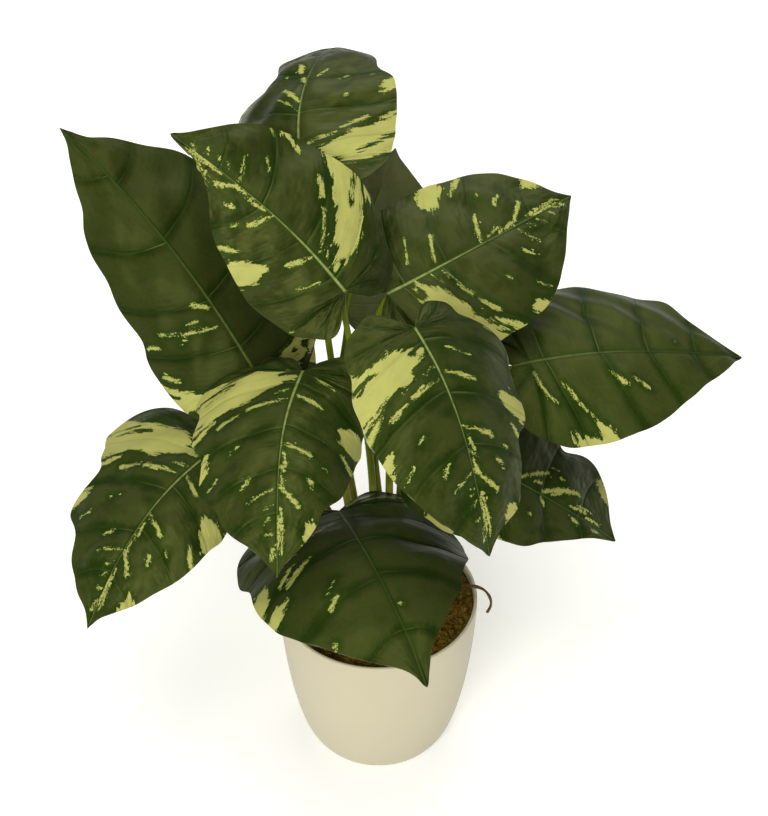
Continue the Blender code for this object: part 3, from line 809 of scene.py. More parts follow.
class Blade:
    """Places points of a leaf's flat pattern in space, in millimetres."""

    def __init__(self, leaf):
        self.leaf = leaf
        self.base = np.array(leaf.base, float)
        self.chord = np.array(leaf.tip, float) - self.base
        forward = unit(self.chord)
        level = unit(np.cross((0, 0, 1), forward))
        roll = math.radians(leaf.roll)
        self.left = level * math.cos(roll) + np.cross(forward, level) * math.sin(roll)
        self.up = np.cross(forward, self.left)
        line = self.midrib(np.linspace(0, 1, 61))
        self.length = np.linalg.norm(np.diff(line, axis=0), axis=1).sum()
        self.margins = [self.margin_of(full, leaf.ears, leaf.closed) for full in leaf.full]
        rng = np.random.default_rng(sum(map(ord, leaf.name)))
        self.swells = rng.uniform((0.08, -0.1, 0), (0.2, 0.22, 6.3), (6, 3))
        self.nibbles = rng.uniform((20, 0), (75, 6.3), (7, 2))
        self.drift = rng.uniform((0.006, 7, 0), (0.013, 17, 6.3), (2, 2, 3))
        self.strengths = rng.uniform(0.25, 1.0, (2, VEINS + 1))

    def midrib(self, t):
        """The midrib's points at shares t of the way from base to tip."""
        t = np.asarray(t, float)[..., None]
        bow = 4 * t * (1 - t)
        shift = 1 + self.leaf.sway_shift * (2 * t - 1)
        return (self.base + self.chord * t + self.up * (self.leaf.arch * bow)
                + self.left * (self.leaf.sway * bow * shift))

    def frame(self, t):
        """Forward, left and up directions of the blade at the midrib's shares t."""
        step = 1e-3
        forward = unit(self.midrib(t + step) - self.midrib(t - step))
        left = unit(self.left - forward * (forward @ self.left)[..., None])
        return forward, left, np.cross(forward, left)

    @staticmethod
    def margin_of(full, ears, closed):
        """The margin's points for this shape, evenly spaced by their length along it."""
        knots = np.array(HEART_MARGIN) * (1 - full) + np.array(OVAL_MARGIN) * full
        knots[1:3, 1] *= (1 - closed, 1 - 0.4 * closed)
        knots[:, 0] = np.where(knots[:, 0] < 0, knots[:, 0] * ears, knots[:, 0])
        fine = curve_through(knots, np.linspace(0, 1, 401))
        steps = np.hypot(np.diff(fine[:, 0]), USUAL_HALF * np.diff(fine[:, 1]))
        run = np.concatenate(([0], np.cumsum(steps))) / steps.sum()
        even = np.linspace(0, 1, 201)
        return np.stack([np.interp(even, run, fine[:, axis]) for axis in (0, 1)], axis=1)

    def stretch(self, p, side):
        """How much longer the vein at share p is for the uneven margin, as a share."""
        return sum((more / 100 * np.exp(-(((p - at / 100) / EDGE_WIDTH) ** 2))
                    for at, more in self.leaf.edge[side]), 0 * p)

    def vein_share(self, p, side):
        """p shifted a little to and fro, so that the veins aren't evenly spaced."""
        return p + sum(far * np.sin(pace * p + phase) for far, pace, phase in self.drift[side])

    def strength(self, p, side):
        """How strongly the nearest vein shows."""
        nearest = np.clip(np.rint(VEINS * self.vein_share(p, side)), 0, VEINS).astype(int)
        return self.strengths[side][nearest]

    def pattern(self, p, v, side):
        """Flat place of share p round the margin and v out along the vein that ends there."""
        v = v * (1 + self.stretch(p, side) * v * v)
        margin = self.margins[side]
        shares = np.linspace(0, 1, len(margin))
        edge_x = np.interp(p, shares, margin[:, 0])
        edge_y = np.interp(p, shares, margin[:, 1])
        root = np.maximum(0.0, (p - VEIN_FAN) / (1 - VEIN_FAN)) ** VEIN_SPACING
        bow = root + VEIN_BOW * (edge_x - root)
        x = (1 - v) ** 2 * root + 2 * v * (1 - v) * bow + v * v * edge_x
        y = (2 * v * (1 - v) * VEIN_FULLNESS + v * v) * edge_y
        return x, y

    def flat(self, p, v, side):
        """The same place in millimetres along and across the flattened blade."""
        x, y = self.pattern(p, v, side)
        return np.stack((x * self.length, y * self.leaf.halves[side]), axis=-1)

    def relief(self, p, v, side, quilt):
        """Swelling between the veins, the valley of the midrib and slow unevenness."""
        along, across = np.moveaxis(self.flat(p, v, side), -1, 0)
        from_vein = np.abs((VEINS * self.vein_share(p, side) + 0.5) % 1 - 0.5)
        groove = np.exp(-from_vein / GROOVE) * self.strength(p, side)
        lift = quilt * (0.5 - groove) * np.sin(np.pi * np.minimum(v, QUILT_END))
        lift *= np.clip(across / QUILT_START, 0, 1) * (0.35 + 0.65 * np.clip(p / VEIN_FAN, 0, 1))
        lift -= (VALLEY_DEPTH * np.exp(-(across / VALLEY_WIDTH) ** 2)
                 * np.clip(along / VALLEY_START, 0, 1))
        for high, wide, phase in self.swells:
            lift += np.sin(high * along + wide * across * HAND[side] + phase) * v * (1 - v) * 2
        return lift

    def place(self, x, y, side, lift):
        """Points in space of the pattern's x, in lengths, and y, in half widths."""
        leaf = self.leaf
        _, left, up = self.frame(x)
        fold = math.radians(leaf.fold[side])
        turn = math.radians(leaf.bend[side]) * y
        turn = np.where(np.abs(turn) < 1e-6, 1e-6, turn)
        reach = leaf.halves[side] * y
        out = reach * (np.sin(fold + turn) - math.sin(fold)) / turn
        rise = reach * (math.cos(fold) - np.cos(fold + turn)) / turn
        ripple = leaf.wave * y * y * np.sin(2 * math.pi * leaf.waves * x + leaf.phase + 2 * side)
        lobe = leaf.lobe[side] * y * np.clip((LOBE_START - x) / LOBE_RUN, 0, 1.2) ** 2
        return (self.midrib(x) + left * (HAND[side] * out)[..., None]
                + up * (rise + ripple + lobe + lift)[..., None])

    def worn_edge(self, p, v):
        """v with the margin's small unevenness in it."""
        wobble = sum(np.sin(pace * p + phase) for pace, phase in self.nibbles) / len(self.nibbles)
        return v * (1 + WEAR * wobble * np.sin(np.pi * p) ** 0.5 * v**3)


# The cream print

# How far from a mark its distance is still told, in millimetres, and the share of the margin,
# counted from the tip, at which the leaf's slip has its full size.
PRINT_REACH = 12.0
SLIP_REACH = 0.55


def nearest_points(places, starts, edges):
    """For each place and edge: the way from its start, and its nearest point's share and distance."""
    away = places[:, None, :] - starts[None, :, :]
    share = np.clip((away * edges).sum(-1) / (edges * edges).sum(-1), 0, 1)
    return away, share, np.linalg.norm(away - share[..., None] * edges, axis=-1)


def slipped(blade, side, percent):
    """Flat places, in millimetres, of a mark's places, which the leaf's slip moves to the tip."""
    p, v = percent.T / 100
    near, far = blade.leaf.slip[side]
    p = p + (near + (far - near) * v) / 100 * (1 - p) / SLIP_REACH
    return blade.flat(p, v, side)


def patch_distance(blade, side, outline, places):
    """Signed distance in millimetres from flat places to a patch, positive inside."""
    corners = np.array(outline, float)
    steps = np.linspace(0, 1, 5)[:-1, None]
    dense = [a + (b - a) * steps for a, b in zip(corners, np.roll(corners, -1, axis=0))]
    starts = slipped(blade, side, np.vstack(dense))
    edges = np.roll(starts, -1, axis=0) - starts
    away, _, distance = nearest_points(places, starts, edges)
    y0, y1 = starts[:, 1], starts[:, 1] + edges[:, 1]
    crosses = (y0 <= places[:, None, 1]) != (y1 <= places[:, None, 1])
    slope = edges[:, 0] / np.where(edges[:, 1] == 0, 1e-9, edges[:, 1])
    right = away[..., 0] < away[..., 1] * slope
    inside = (crosses & right).sum(axis=1) % 2 == 1
    return np.where(inside, 1, -1) * distance.min(axis=1)


def streak_distance(blade, side, streak, places):
    """Signed distance in millimetres from flat places to a tapered streak, positive inside."""
    start, end = np.array(streak[:4], float).reshape(2, 2)
    steps = np.linspace(0, 1, 9)
    path = slipped(blade, side, start + (end - start) * steps[:, None])
    radii = np.interp(steps, (0, 1), streak[4:6]) / 2 * (0.75 + 0.25 * np.sin(np.pi * steps))
    _, share, distance = nearest_points(places, path[:-1], np.diff(path, axis=0))
    faint = sum(streak[6:])
    return (radii[:-1] + share * np.diff(radii) - distance).max(axis=1) - faint


def print_fields(blade, places, side):
    """How deep each flat place lies in the streaks and in the patches, in millimetres."""
    half = MARKS[blade.leaf.marks][side]
    holes = [streak_distance(blade, side, hole, places) for hole in half.holes]
    fields = []
    for measure, marks in ((streak_distance, half.streaks), (patch_distance, half.patches)):
        field = np.full(len(places), -PRINT_REACH)
        for mark in marks:
            field = np.maximum(field, measure(blade, side, mark, places))
        for hole in holes:
            field = np.minimum(field, -hole)
        fields.append(np.clip(field, -PRINT_REACH, PRINT_REACH))
    return fields


# Meshes

def new_object(name, data):
    obj = bpy.data.objects.new(name, data)
    bpy.context.scene.collection.objects.link(obj)
    return obj


def settle(obj, name):
    """Replaces an object by a plain mesh object with what it looks like now, at the origin."""
    bpy.context.view_layer.update()
    graph = bpy.context.evaluated_depsgraph_get()
    mesh = bpy.data.meshes.new_from_object(obj.evaluated_get(graph))
    mesh.name = name
    bpy.data.objects.remove(obj)
    return new_object(name, mesh)


def join(target, other):
    """Joins the other object into the first."""
    both = (target, other)
    with bpy.context.temp_override(active_object=target, object=target, selected_objects=both,
                                   selected_editable_objects=both):
        bpy.ops.object.join()
    return target


def finish_piece(obj, slot, *nodes):
    """Lets a piece ride with the plant and stand for its nodes, which are hidden."""
    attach(obj, BODY)
    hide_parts(*nodes)


COLUMN_CROWDING = 1.3
SPREAD_STEP = 0.01


def blade_mesh(blade, look):
    """The upper face as a fine grid along the veins, with its maps and fields."""
    rows, columns = ((look.rows, look.columns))
    rows *= VEINS
    p = np.linspace(0, 1, rows + 1)[:, None]
    v = (np.arange(columns + 1) / columns)[None, :] ** COLUMN_CROWDING
    fan_rows = int(VEIN_FAN * rows)
    points, fields, index = [], [], {}
    quads, veins, flats = [], [], []
    for side in (LEFT, RIGHT):
        worn = blade.worn_edge(p, v)
        x, y = blade.pattern(p, worn, side)
        lift = blade.relief(p, v, side, look.quilt / MM)
        places = blade.place(x, y, side, lift)
        flat = blade.flat(p, worn, side)
        ahead = blade.flat(np.minimum(p + SPREAD_STEP / 2, 1), worn, side)
        behind = blade.flat(np.maximum(p - SPREAD_STEP / 2, 0), worn, side)
        spread = np.linalg.norm(ahead - behind, axis=-1) / SPREAD_STEP
        streaks, patches = (field.reshape(flat.shape[:2])
                            for field in print_fields(blade, flat.reshape(-1, 2), side))
        warped, strength = blade.vein_share(p[:, 0], side), blade.strength(p[:, 0], side)
        flat[..., 1] *= HAND[side]
        corner = np.empty((rows + 1, columns + 1), int)
        for row, column in np.ndindex(rows + 1, columns + 1):
            at = row, column
            if row == rows:
                key = "tip"
            elif row == 0 or (column == 0 and row <= fan_rows):
                key = "base"
            elif column == 0:
                key = ("midrib", row)
            else:
                key = (side, row, column)
            if key not in index:
                index[key] = len(points)
                points.append(places[at])
                fields.append((streaks[at], patches[at], spread[at], flat[at][1], strength[row]))
            corner[at] = index[key]
        for row, column in np.ndindex(rows, columns):
            around = ((row, column), (row + 1, column), (row + 1, column + 1), (row, column + 1))
            loop = []
            for at in around[::HAND[side]]:
                if corner[at] not in [corner[other] for other in loop]:
                    loop.append(at)
            if len(loop) < 3:
                continue
            quads.append([int(corner[at]) for at in loop])
            veins.extend((warped[r], v[0, c] * HAND[side]) for r, c in loop)
            flats.extend(flat[at] / 100 for at in loop)
    mesh = bpy.data.meshes.new("blade")
    mesh.from_pydata(np.array(points) * MM, [], quads)
    for name, values in ((VEIN_MAP, veins), (FLAT_MAP, flats)):
        layer = mesh.uv_layers.new(name=name)
        layer.data.foreach_set("uv", np.array(values, np.float32).ravel())
    for name, values in zip(("streaks", "patches", "spread", "across", "strength"),
                            np.array(fields, np.float32).T):
        layer = mesh.attributes.new(name, "FLOAT", "POINT")
        layer.data.foreach_set("value", values.copy())
    mesh.shade_smooth()
    return mesh


# In millimetres: heights of a stalk's lower end, of a place in its hole and of the place where it
# leaves the filling, its gap below the blade, and how far past the blade's base it ends.
STALK_FOOT = 79.0
STALK_HOLE = 100.0
STALK_FREE = 116.5
STALK_GAP = 0.9
RIB_START = 2


def stalk_route(leaf, look):
    """The stalk's centre line: upright in its hole, then one smooth sweep to the blade."""
    blade = Blade(leaf)
    forward, _, up = (direction[0] for direction in blade.frame(np.zeros(1)))
    angle = math.radians(leaf.arrive)
    arrival = forward * math.cos(angle) + up * math.sin(angle)
    drop = STALK_GAP + look.top_radius / MM * abs(math.cos(angle))
    end = blade.base + forward * RIB_START - up * drop
    start = np.array((*leaf.foot, STALK_FREE))
    span = np.linalg.norm(end - start)
    handles = (start, start + np.array((*leaf.lean, span * leaf.rise)),
               end - arrival * (span * leaf.reach), end)
    t = np.linspace(0, 1, 40)[:, None]
    weights = ((1 - t) ** 3, 3 * t * (1 - t) ** 2, 3 * t * t * (1 - t), t**3)
    sweep = sum(handle * weight for handle, weight in zip(handles, weights))
    return np.vstack(((*leaf.foot, STALK_FOOT), (*leaf.foot, STALK_HOLE), sweep))


def rib_route(leaf):
    """The midrib under the blade, from the stalk's end to three quarters of the way to the tip."""
    blade = Blade(leaf)
    t = np.linspace(0, 0.78, 22)
    forward, _, up = blade.frame(t)
    radii = np.linspace(1.45, 0.35, len(t))
    centre = blade.midrib(t) + forward * RIB_START * (1 - t[:, None])
    valley = VALLEY_DEPTH * np.clip(t * blade.length / VALLEY_START, 0, 1)
    return centre - up * (0.75 + valley + radii * 0.55)[:, None], radii * MM


# Geometry node trees

FULL_TURN = 6.283
WELD = 1e-6


def new_tree(name, numbers):
    """A modifier's tree with a geometry input, the named number inputs and a material input."""
    tree = bpy.data.node_groups.new(name, "GeometryNodeTree")
    face = tree.interface
    face.new_socket("Geometry", in_out="INPUT", socket_type="NodeSocketGeometry")
    for label, (kind, default) in numbers.items():
        face.new_socket(label, in_out="INPUT", socket_type="NodeSocket" + kind).default_value = default
    face.new_socket("Material", in_out="INPUT", socket_type="NodeSocketMaterial")
    face.new_socket("Geometry", in_out="OUTPUT", socket_type="NodeSocketGeometry")
    graph = Graph(tree)
    return graph, graph.node("NodeGroupInput", output="Geometry")


def smooth(graph, geometry):
    return graph.node("GeometryNodeSetShadeSmooth", None, {"Geometry": geometry})


def end_tree(graph, given, geometry):
    """The tree's last nodes: every instance made real, and the material set."""
    real = graph.node("GeometryNodeRealizeInstances", None, {"Geometry": geometry})
    dressed = graph.node("GeometryNodeSetMaterial", None,
                         {"Geometry": real, "Material": given.out("Material")})
    graph.node("NodeGroupOutput", None, {"Geometry": dressed})
    return graph.tree


def run_tree(obj, tree, values, name):
    """Gives an object the tree as a modifier with these inputs, and keeps the plain mesh it makes."""
    modifier = obj.modifiers.new("Make", "NODES")
    modifier.node_group = tree
    for item in tree.interface.items_tree:
        if item.in_out == "INPUT" and item.name in values:
            modifier[item.identifier] = values[item.name]
    return settle(obj, name)


def sweep_tree():
    """Sweeps a round skin along each curve, with its radius and a slight unevenness."""
    graph, given = new_tree("Sweep", {"Sides": ("Int", 16), "Step": ("Float", 0.002),
                                      "Unevenness": ("Float", 0.0001)})
    even = graph.node("GeometryNodeResampleCurve", {"mode": "LENGTH"},
                      {"Curve": given, "Length": given.out("Step")})
    ring = graph.node("GeometryNodeCurvePrimitiveCircle", None,
                      {"Resolution": given.out("Sides"), "Radius": 1.0})
    skin = graph.node("GeometryNodeCurveToMesh", None,
                      {"Curve": even, "Profile Curve": ring, "Fill Caps": True,
                       "Scale": graph.node("GeometryNodeInputRadius")})
    lumps = graph.noise(graph.node("GeometryNodeInputPosition"), 160.0)
    shift = graph.node("ShaderNodeVectorMath", {"operation": "SCALE"},
                       {0: graph.node("GeometryNodeInputNormal"),
                        "Scale": lumps * given.out("Unevenness")})
    moved = graph.node("GeometryNodeSetPosition", None, {"Geometry": skin, "Offset": shift})
    return end_tree(graph, given, smooth(graph, moved))


def lathe_tree():
    """Turns the points of a profile, given as a line in the XZ plane, about the Z axis."""
    graph, given = new_tree("Lathe", {"Steps": ("Int", 96), "Points": ("Int", 10)})
    steps, points = given.out("Steps"), given.out("Points")
    grid = graph.node("GeometryNodeMeshGrid", None, {"Vertices X": steps + 1, "Vertices Y": points},
                      "Mesh")
    index = graph.node("GeometryNodeInputIndex")
    place = graph.node("GeometryNodeInputPosition")
    knot = graph.node("GeometryNodeSampleIndex", {"data_type": "FLOAT_VECTOR", "domain": "POINT"},
                      {"Geometry": given, "Value": place, "Index": index % points}, "Value")
    radius, _, height = graph.split(knot)
    turn = graph.math("FLOOR", index / points) / steps * (2 * math.pi)
    spot = graph.vector(radius * graph.math("COSINE", turn), radius * graph.math("SINE", turn), height)
    moved = graph.node("GeometryNodeSetPosition", None, {"Geometry": grid, "Position": spot})
    merged = graph.node("GeometryNodeMergeByDistance", None, {"Geometry": moved, "Distance": WELD})
    return end_tree(graph, given, smooth(graph, merged))


def litter_tree():
    """Scatters curved fibres and flat chips over the upward faces of a surface, and keeps it below."""
    graph, given = new_tree("Litter", {"Fibres": ("Float", 220000.0), "Chips": ("Float", 70000.0),
                                       "Reach": ("Float", 0.058), "Seed": ("Int", 4)})
    seed = given.out("Seed")
    _, _, up = graph.split(graph.node("GeometryNodeInputNormal"))
    place = graph.node("GeometryNodeInputPosition")
    x, y, height = graph.split(place)
    from_axis = graph.math("SQRT", x * x + y * y)
    top = (graph.math("GREATER_THAN", up, 0.5) * graph.math("GREATER_THAN", height, 0.1)
           * graph.math("LESS_THAN", from_axis, given.out("Reach")))

    def draw(low, high, offset):
        return graph.node("FunctionNodeRandomValue", {"data_type": "FLOAT"},
                          {"Min_001": low, "Max_001": high, "Seed": seed + offset}, "Value_001")

    def scatter(density, shape, offset, tilt, tones):
        dots = graph.node("GeometryNodeDistributePointsOnFaces", None,
                          {"Mesh": given, "Selection": top, "Density": density,
                           "Seed": seed + offset}, "Points")
        facing = graph.vector(draw(-tilt, tilt, offset + 1), draw(-tilt, tilt, offset + 2),
                              draw(0.0, FULL_TURN, offset + 3))
        size = graph.vector(draw(0.6, 1.3, offset + 4), draw(0.6, 1.3, offset + 5),
                            draw(0.6, 1.2, offset + 6))
        laid = graph.node("GeometryNodeInstanceOnPoints", None,
                          {"Points": dots, "Instance": shape, "Rotation": facing, "Scale": size})
        return graph.node("GeometryNodeStoreNamedAttribute",
                          {"data_type": "FLOAT", "domain": "INSTANCE"},
                          {"Geometry": laid, "Name": "tone", "Value": draw(*tones, offset + 7)})

    bow = graph.node("GeometryNodeCurveArc", {"mode": "RADIUS"},
                     {"Resolution": 7, "Radius": 0.0035, "Sweep Angle": 2.4}, "Curve")
    thread = graph.node("GeometryNodeCurvePrimitiveCircle", None, {"Resolution": 3, "Radius": 0.00028})
    fibre = graph.node("GeometryNodeCurveToMesh", None,
                       {"Curve": bow, "Profile Curve": thread, "Fill Caps": True})
    chip = graph.node("GeometryNodeMeshIcoSphere", None, {"Radius": 0.0022, "Subdivisions": 1}, "Mesh")
    squeeze = graph.node("ShaderNodeVectorMath", {"operation": "MULTIPLY"},
                         {0: place, 1: (1.0, 0.62, 0.34)})
    dent = graph.noise(place, 700.0) * 0.0012
    chip = graph.node("GeometryNodeSetPosition", None,
                      {"Geometry": chip, "Position": squeeze, "Offset": graph.vector(dent, dent, dent)})
    fibres = scatter(given.out("Fibres"), fibre, 10, 0.45, (0.25, 0.95))
    chips = scatter(given.out("Chips"), chip, 30, 0.5, (0.05, 0.8))
    together = graph.node("GeometryNodeJoinGeometry")
    for geometry in (given, fibres, chips):
        graph.tree.links.new(geometry.socket, together.node.inputs[0])
    return end_tree(graph, given, together)


# Pieces

def line_object(name, points):
    """An object that holds a line of points, in metres."""
    mesh = bpy.data.meshes.new(name)
    mesh.from_pydata(points, [(i, i + 1) for i in range(len(points) - 1)], [])
    return new_object(name, mesh)


def swept(name, route, radii, tree, material, sides, step=0.002, unevenness=0.0001):
    """A piece with round sections along a route, in millimetres, with the radii in metres."""
    curve = bpy.data.curves.new(name, "CURVE")
    curve.dimensions = "3D"
    spline = curve.splines.new("POLY")
    spline.points.add(len(route) - 1)
    for point, place, radius in zip(spline.points, route, radii):
        point.co = (*(np.asarray(place) * MM), 1)
        point.radius = radius
    obj = new_object(name, curve)
    values = {"Sides": sides, "Step": step, "Unevenness": unevenness, "Material": material}
    return run_tree(obj, tree, values, name)


# Radius of the rounded edge of the pot's foot, and how its rings crowd there.
FOOT_EDGE = 0.0012
WALL_CROWDING = 1.6


def wall_radius(look, height):
    """Outer radius of the pot at a height."""
    share = np.clip(np.asarray(height) / look.height, 0, 1)
    swell = (1 - (1 - share) ** look.bulge) ** (1 / look.bulge)
    return look.foot_radius + (look.rim_radius - look.foot_radius) * swell


def round_edge(radius, height, size, start, end, count):
    """Points of a rounded edge about a middle, between two angles in degrees."""
    turns = np.radians(np.linspace(start, end, count))
    return [(radius + size * math.cos(turn), height + size * math.sin(turn)) for turn in turns]


def pot_profile(look):
    """Radius and height along the pot's section: inside floor, inner wall, rim, outer wall, foot."""
    lip = look.wall / 2
    top = look.height - lip
    inner = look.floor + (top - look.floor) * np.linspace(0, 1, 22) ** WALL_CROWDING
    outer = FOOT_EDGE + (top - FOOT_EDGE) * np.linspace(0, 1, 44) ** WALL_CROWDING
    foot = wall_radius(look, FOOT_EDGE) - FOOT_EDGE
    return ([(0, look.floor)] + [(wall_radius(look, z) - look.wall, z) for z in inner]
            + round_edge(look.rim_radius - lip, top, lip, 165, 15, 9)
            + [(wall_radius(look, z), z) for z in outer[::-1]]
            + round_edge(foot, FOOT_EDGE, FOOT_EDGE, 0, -90, 6)[1:] + [(0, 0)])


PER_SQUARE_CENTIMETRE = 1e4

# Radius over which the filling's dome falls, its gap to the pot, that of the loose pieces' middles,
# and the waves of its top: for each height, radians a metre along X and along Y, and a start.
SOIL_RADIUS = 0.065
SOIL_GAP = 0.0003
LITTER_GAP = 0.0034
SOIL_WAVES = ((0.0003, (260, 140, 1), (-170, 310, 2), (420, -230, 4), (90, -380, 5)),
              (0.00022, (900, 500, 0), (-700, 1100, 2), (1300, -600, 3), (300, -1500, 1)))


def soil_height(look, x, y):
    """Height of the filling: a low dome with soft and fine bumps."""
    height = look.level + look.dome * (1 - (x * x + y * y) / SOIL_RADIUS**2)
    for size, *waves in SOIL_WAVES:
        height += size * sum(np.sin(a * x + b * y + c) for a, b, c in waves)
    return height


class PieceOperator:
    """What the operators that build a piece share."""

    bl_options = {"REGISTER", "UNDO"}

    def execute(self, context):
        self.build(context.scene)
        return {"FINISHED"}


class POTHOS_OT_pot(PieceOperator, bpy.types.Operator):
    """Turn the pot's section about its axis"""

    bl_idname = "pothos.pot"
    bl_label = "Pot"

    def build(self, scene):
        look = scene.pothos_pot
        profile = pot_profile(look)
        line = line_object("pot_section", [(radius, 0, height) for radius, height in profile])
        values = {"Steps": look.steps, "Points": len(profile), "Material": pot_finish(look)}
        finish_piece(run_tree(line, lathe_tree(), values, "planter"), "pot", "pot")


class POTHOS_OT_soil(PieceOperator, bpy.types.Operator):
    """Fill the pot with moss and bark up to its level"""

    bl_idname = "pothos.soil"
    bl_label = "Filling"

    def build(self, scene):
        look, pot = scene.pothos_soil, scene.pothos_pot
        gap = pot.wall + SOIL_GAP
        rings = np.linspace(0, 1, 46)[1:] * (wall_radius(pot, look.level) - gap)
        depths = (look.level - 0.0008, 0.09, 0.06, 0.03, pot.floor + SOIL_GAP)
        profile = ([(0, look.level)] + [(r, look.level) for r in rings]
                   + [(wall_radius(pot, z) - gap, z) for z in depths] + [(0, depths[-1])])
        line = line_object("soil_section", [(r, 0, z) for r, z in profile[::-1]])
        finish = soil_finish(look)
        bed = run_tree(line, lathe_tree(), {"Steps": 150, "Points": len(profile)}, "soil_bed")
        places = np.empty(3 * len(bed.data.vertices), np.float32)
        bed.data.vertices.foreach_get("co", places)
        x, y, z = places.reshape(-1, 3).T
        top = z > look.level - 0.0001
        z[top] = soil_height(look, x, y)[top]
        bed.data.vertices.foreach_set("co", np.stack((x, y, z), axis=1).ravel())
        density = PER_SQUARE_CENTIMETRE * 1
        reach = wall_radius(pot, look.level) - gap - LITTER_GAP
        values = {"Fibres": look.fibres * density, "Chips": look.chips * density,
                  "Reach": float(reach), "Seed": look.seed, "Material": finish}
        finish_piece(run_tree(bed, litter_tree(), values, "potting_moss"), "soil", "soil")


class POTHOS_OT_stalks(PieceOperator, bpy.types.Operator):
    """Grow a stalk from the filling to each blade"""

    bl_idname = "pothos.stalks"
    bl_label = "Stalks"

    def build(self, scene):
        look = scene.pothos_stalk
        tree, finish = sweep_tree(), stalk_finish(look)
        for leaf in LEAVES:
            route = stalk_route(leaf, look)
            share = np.clip(np.arange(len(route)) - 2, 0, None) / (len(route) - 3)
            radii = look.foot_radius + (look.top_radius - look.foot_radius) * share
            radii[-1] *= 0.8
            stalk = swept("stalk_" + leaf.name, route, radii, tree, finish, look.sides)
            finish_piece(stalk, "stalk", "petiole_" + leaf.name)


class POTHOS_OT_root(PieceOperator, bpy.types.Operator):
    """Lay the aerial root over the rim"""

    bl_idname = "pothos.root"
    bl_label = "Aerial root"

    def build(self, scene):
        look = scene.pothos_stalk
        route = curve_through(np.array(ROOT_ROUTE, float), np.linspace(0, 1, 60))
        share = np.linspace(0, 1, len(route))
        knobs = 0.12 * np.sin(share * 34)
        taper = 0.1 * np.maximum(0, share - 0.6) / 0.4
        radii = ROOT_RADIUS * (1.0 + knobs - taper)
        root = swept("aerial_root_skin", route, radii, sweep_tree(), root_finish(look), 14,
                     step=0.0008, unevenness=0.0003)
        finish_piece(root, "aerial_root", "aerial_root")


class POTHOS_OT_leaves(PieceOperator, bpy.types.Operator):
    """Shape, thicken and print every blade, with its midrib below"""

    bl_idname = "pothos.leaves"
    bl_label = "Leaves"

    def build(self, scene):
        look = scene.pothos_leaf
        tree = sweep_tree()
        rib_skin = bpy.data.materials["stalk_skin"]
        for leaf in LEAVES:
            obj = new_object("blade_" + leaf.name, blade_mesh(Blade(leaf), look))
            obj.data.materials.append(leaf_upper_finish(leaf, look))
            obj.data.materials.append(leaf_under_finish(leaf, look))
            thicken = obj.modifiers.new("Thickness", "SOLIDIFY")
            thicken.thickness = look.thickness
            thicken.offset = -1
            thicken.material_offset = 1
            blade = settle(obj, "blade_" + leaf.name)
            blade.data.set_sharp_from_angle(angle=math.radians(50))
            route, radii = rib_route(leaf)
            rib = swept("rib_" + leaf.name, route, radii, tree, rib_skin, 8, step=0.006)
            finish_piece(join(blade, rib), "leaf", "leaf_" + leaf.name)


# The camera's aim and the lights' aim, half the floor's side, all in metres, and the sensor's width
# in millimetres. Each soft light has a place, a side in metres, a power in watts and a colour.
AIM = (0.0038, 0, 0.2814)
LIGHTS_AIM = (0, 0.03, 0.25)
HALF_FLOOR = 6.0
SENSOR = 36
WORLD_STRENGTH = 0.22
WARM = (1.0, 0.99, 0.94)
WARMER = (1.0, 0.98, 0.8)
LIGHTS = {"key_softbox": ((0.0, -0.5, 2.5), 1.6, 31, WARM),
          "back_softbox": ((0.3, 1.5, 1.9), 1.6, 20, WARMER),
          "front_softbox": ((-0.6, -2.2, 1.4), 1.2, 43, WARM)}


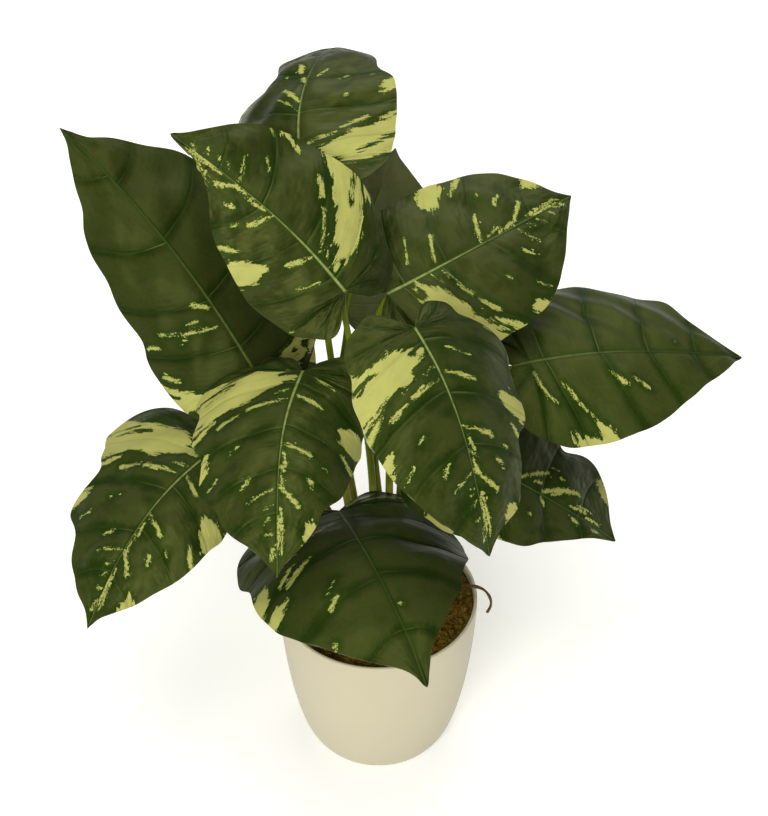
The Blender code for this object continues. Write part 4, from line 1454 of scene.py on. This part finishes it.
class POTHOS_OT_stage(PieceOperator, bpy.types.Operator):
    """Set the floor, the soft lights and the camera"""

    bl_idname = "pothos.stage"
    bl_label = "Stage"

    def build(self, scene):
        self.lay_floor(scene.pothos_stage)
        self.hang_lights(scene)
        self.aim_camera(scene, scene.pothos_stage)

    def lay_floor(self, look):
        corners = [(x * HALF_FLOOR, y * HALF_FLOOR, 0) for x, y in ((-1, -1), (1, -1), (1, 1), (-1, 1))]
        mesh = bpy.data.meshes.new("floor")
        mesh.from_pydata(corners, [], [(0, 1, 2, 3)])
        floor = new_object("floor", mesh)
        finish = Finish("floor_paint")
        finish.set(Base_Color=look.floor, Roughness=0.9, Specular_IOR_Level=0.1,
                   Emission_Color=(1.0, 1.0, 1.0), Emission_Strength=0.3)
        mesh.materials.append(finish.material)

    def hang_lights(self, scene):
        for name, (place, size, power, colour) in LIGHTS.items():
            light = bpy.data.lights.new(name, "AREA")
            light.size = size
            light.energy = power
            light.color = colour
            obj = new_object(name, light)
            obj.location = place
            ahead = Vector(LIGHTS_AIM) - obj.location
            obj.rotation_euler = ahead.to_track_quat("-Z", "Y").to_euler()
        scene.world = bpy.data.worlds.new("studio")
        scene.world.use_nodes = True
        backdrop = scene.world.node_tree.nodes["Background"].inputs
        backdrop["Color"].default_value = (1, 1, 1, 1)
        backdrop["Strength"].default_value = WORLD_STRENGTH
        scene.view_settings.view_transform = "Standard"

    def aim_camera(self, scene, look):
        data = bpy.data.cameras.new("camera")
        data.lens = look.lens
        data.sensor_width = SENSOR
        camera = new_object("camera", data)
        ahead = Vector((0, math.cos(look.pitch), -math.sin(look.pitch)))
        camera.location = Vector(AIM) - ahead * look.distance
        camera.rotation_euler = (math.pi / 2 - look.pitch, 0, 0)
        scene.camera = camera


class POTHOS_PT_panel(bpy.types.Panel):
    """The plant's pieces and their settings"""

    bl_label = "Potted Pothos"
    bl_idname = "POTHOS_PT_panel"
    bl_space_type = "VIEW_3D"
    bl_region_type = "UI"
    bl_category = "Pothos"

    def draw(self, context):
        for operator in OPERATORS:
            self.layout.operator(operator.bl_idname)
        for key in SETTINGS:
            group = getattr(context.scene, key)
            box = self.layout.box()
            for name in group.__annotations__:
                box.prop(group, name)


SETTINGS = {"pothos_pot": PotSettings, "pothos_soil": SoilSettings, "pothos_stalk": StalkSettings,
            "pothos_leaf": LeafSettings, "pothos_stage": StageSettings}
OPERATORS = (POTHOS_OT_pot, POTHOS_OT_soil, POTHOS_OT_stalks, POTHOS_OT_root, POTHOS_OT_leaves,
             POTHOS_OT_stage)


def register():
    for kind in (*SETTINGS.values(), *OPERATORS, POTHOS_PT_panel):
        bpy.utils.register_class(kind)
    for key, kind in SETTINGS.items():
        setattr(bpy.types.Scene, key, PointerProperty(type=kind))


def unregister():
    for key in SETTINGS:
        delattr(bpy.types.Scene, key)
    for kind in (POTHOS_PT_panel, *OPERATORS[::-1], *SETTINGS.values()):
        bpy.utils.unregister_class(kind)


def main():
    register()
    bpy.ops.pothos.pot()
    bpy.ops.pothos.soil()
    bpy.ops.pothos.stalks()
    bpy.ops.pothos.root()
    bpy.ops.pothos.leaves()
    bpy.ops.pothos.stage()


if __name__ == "__main__":
    main()
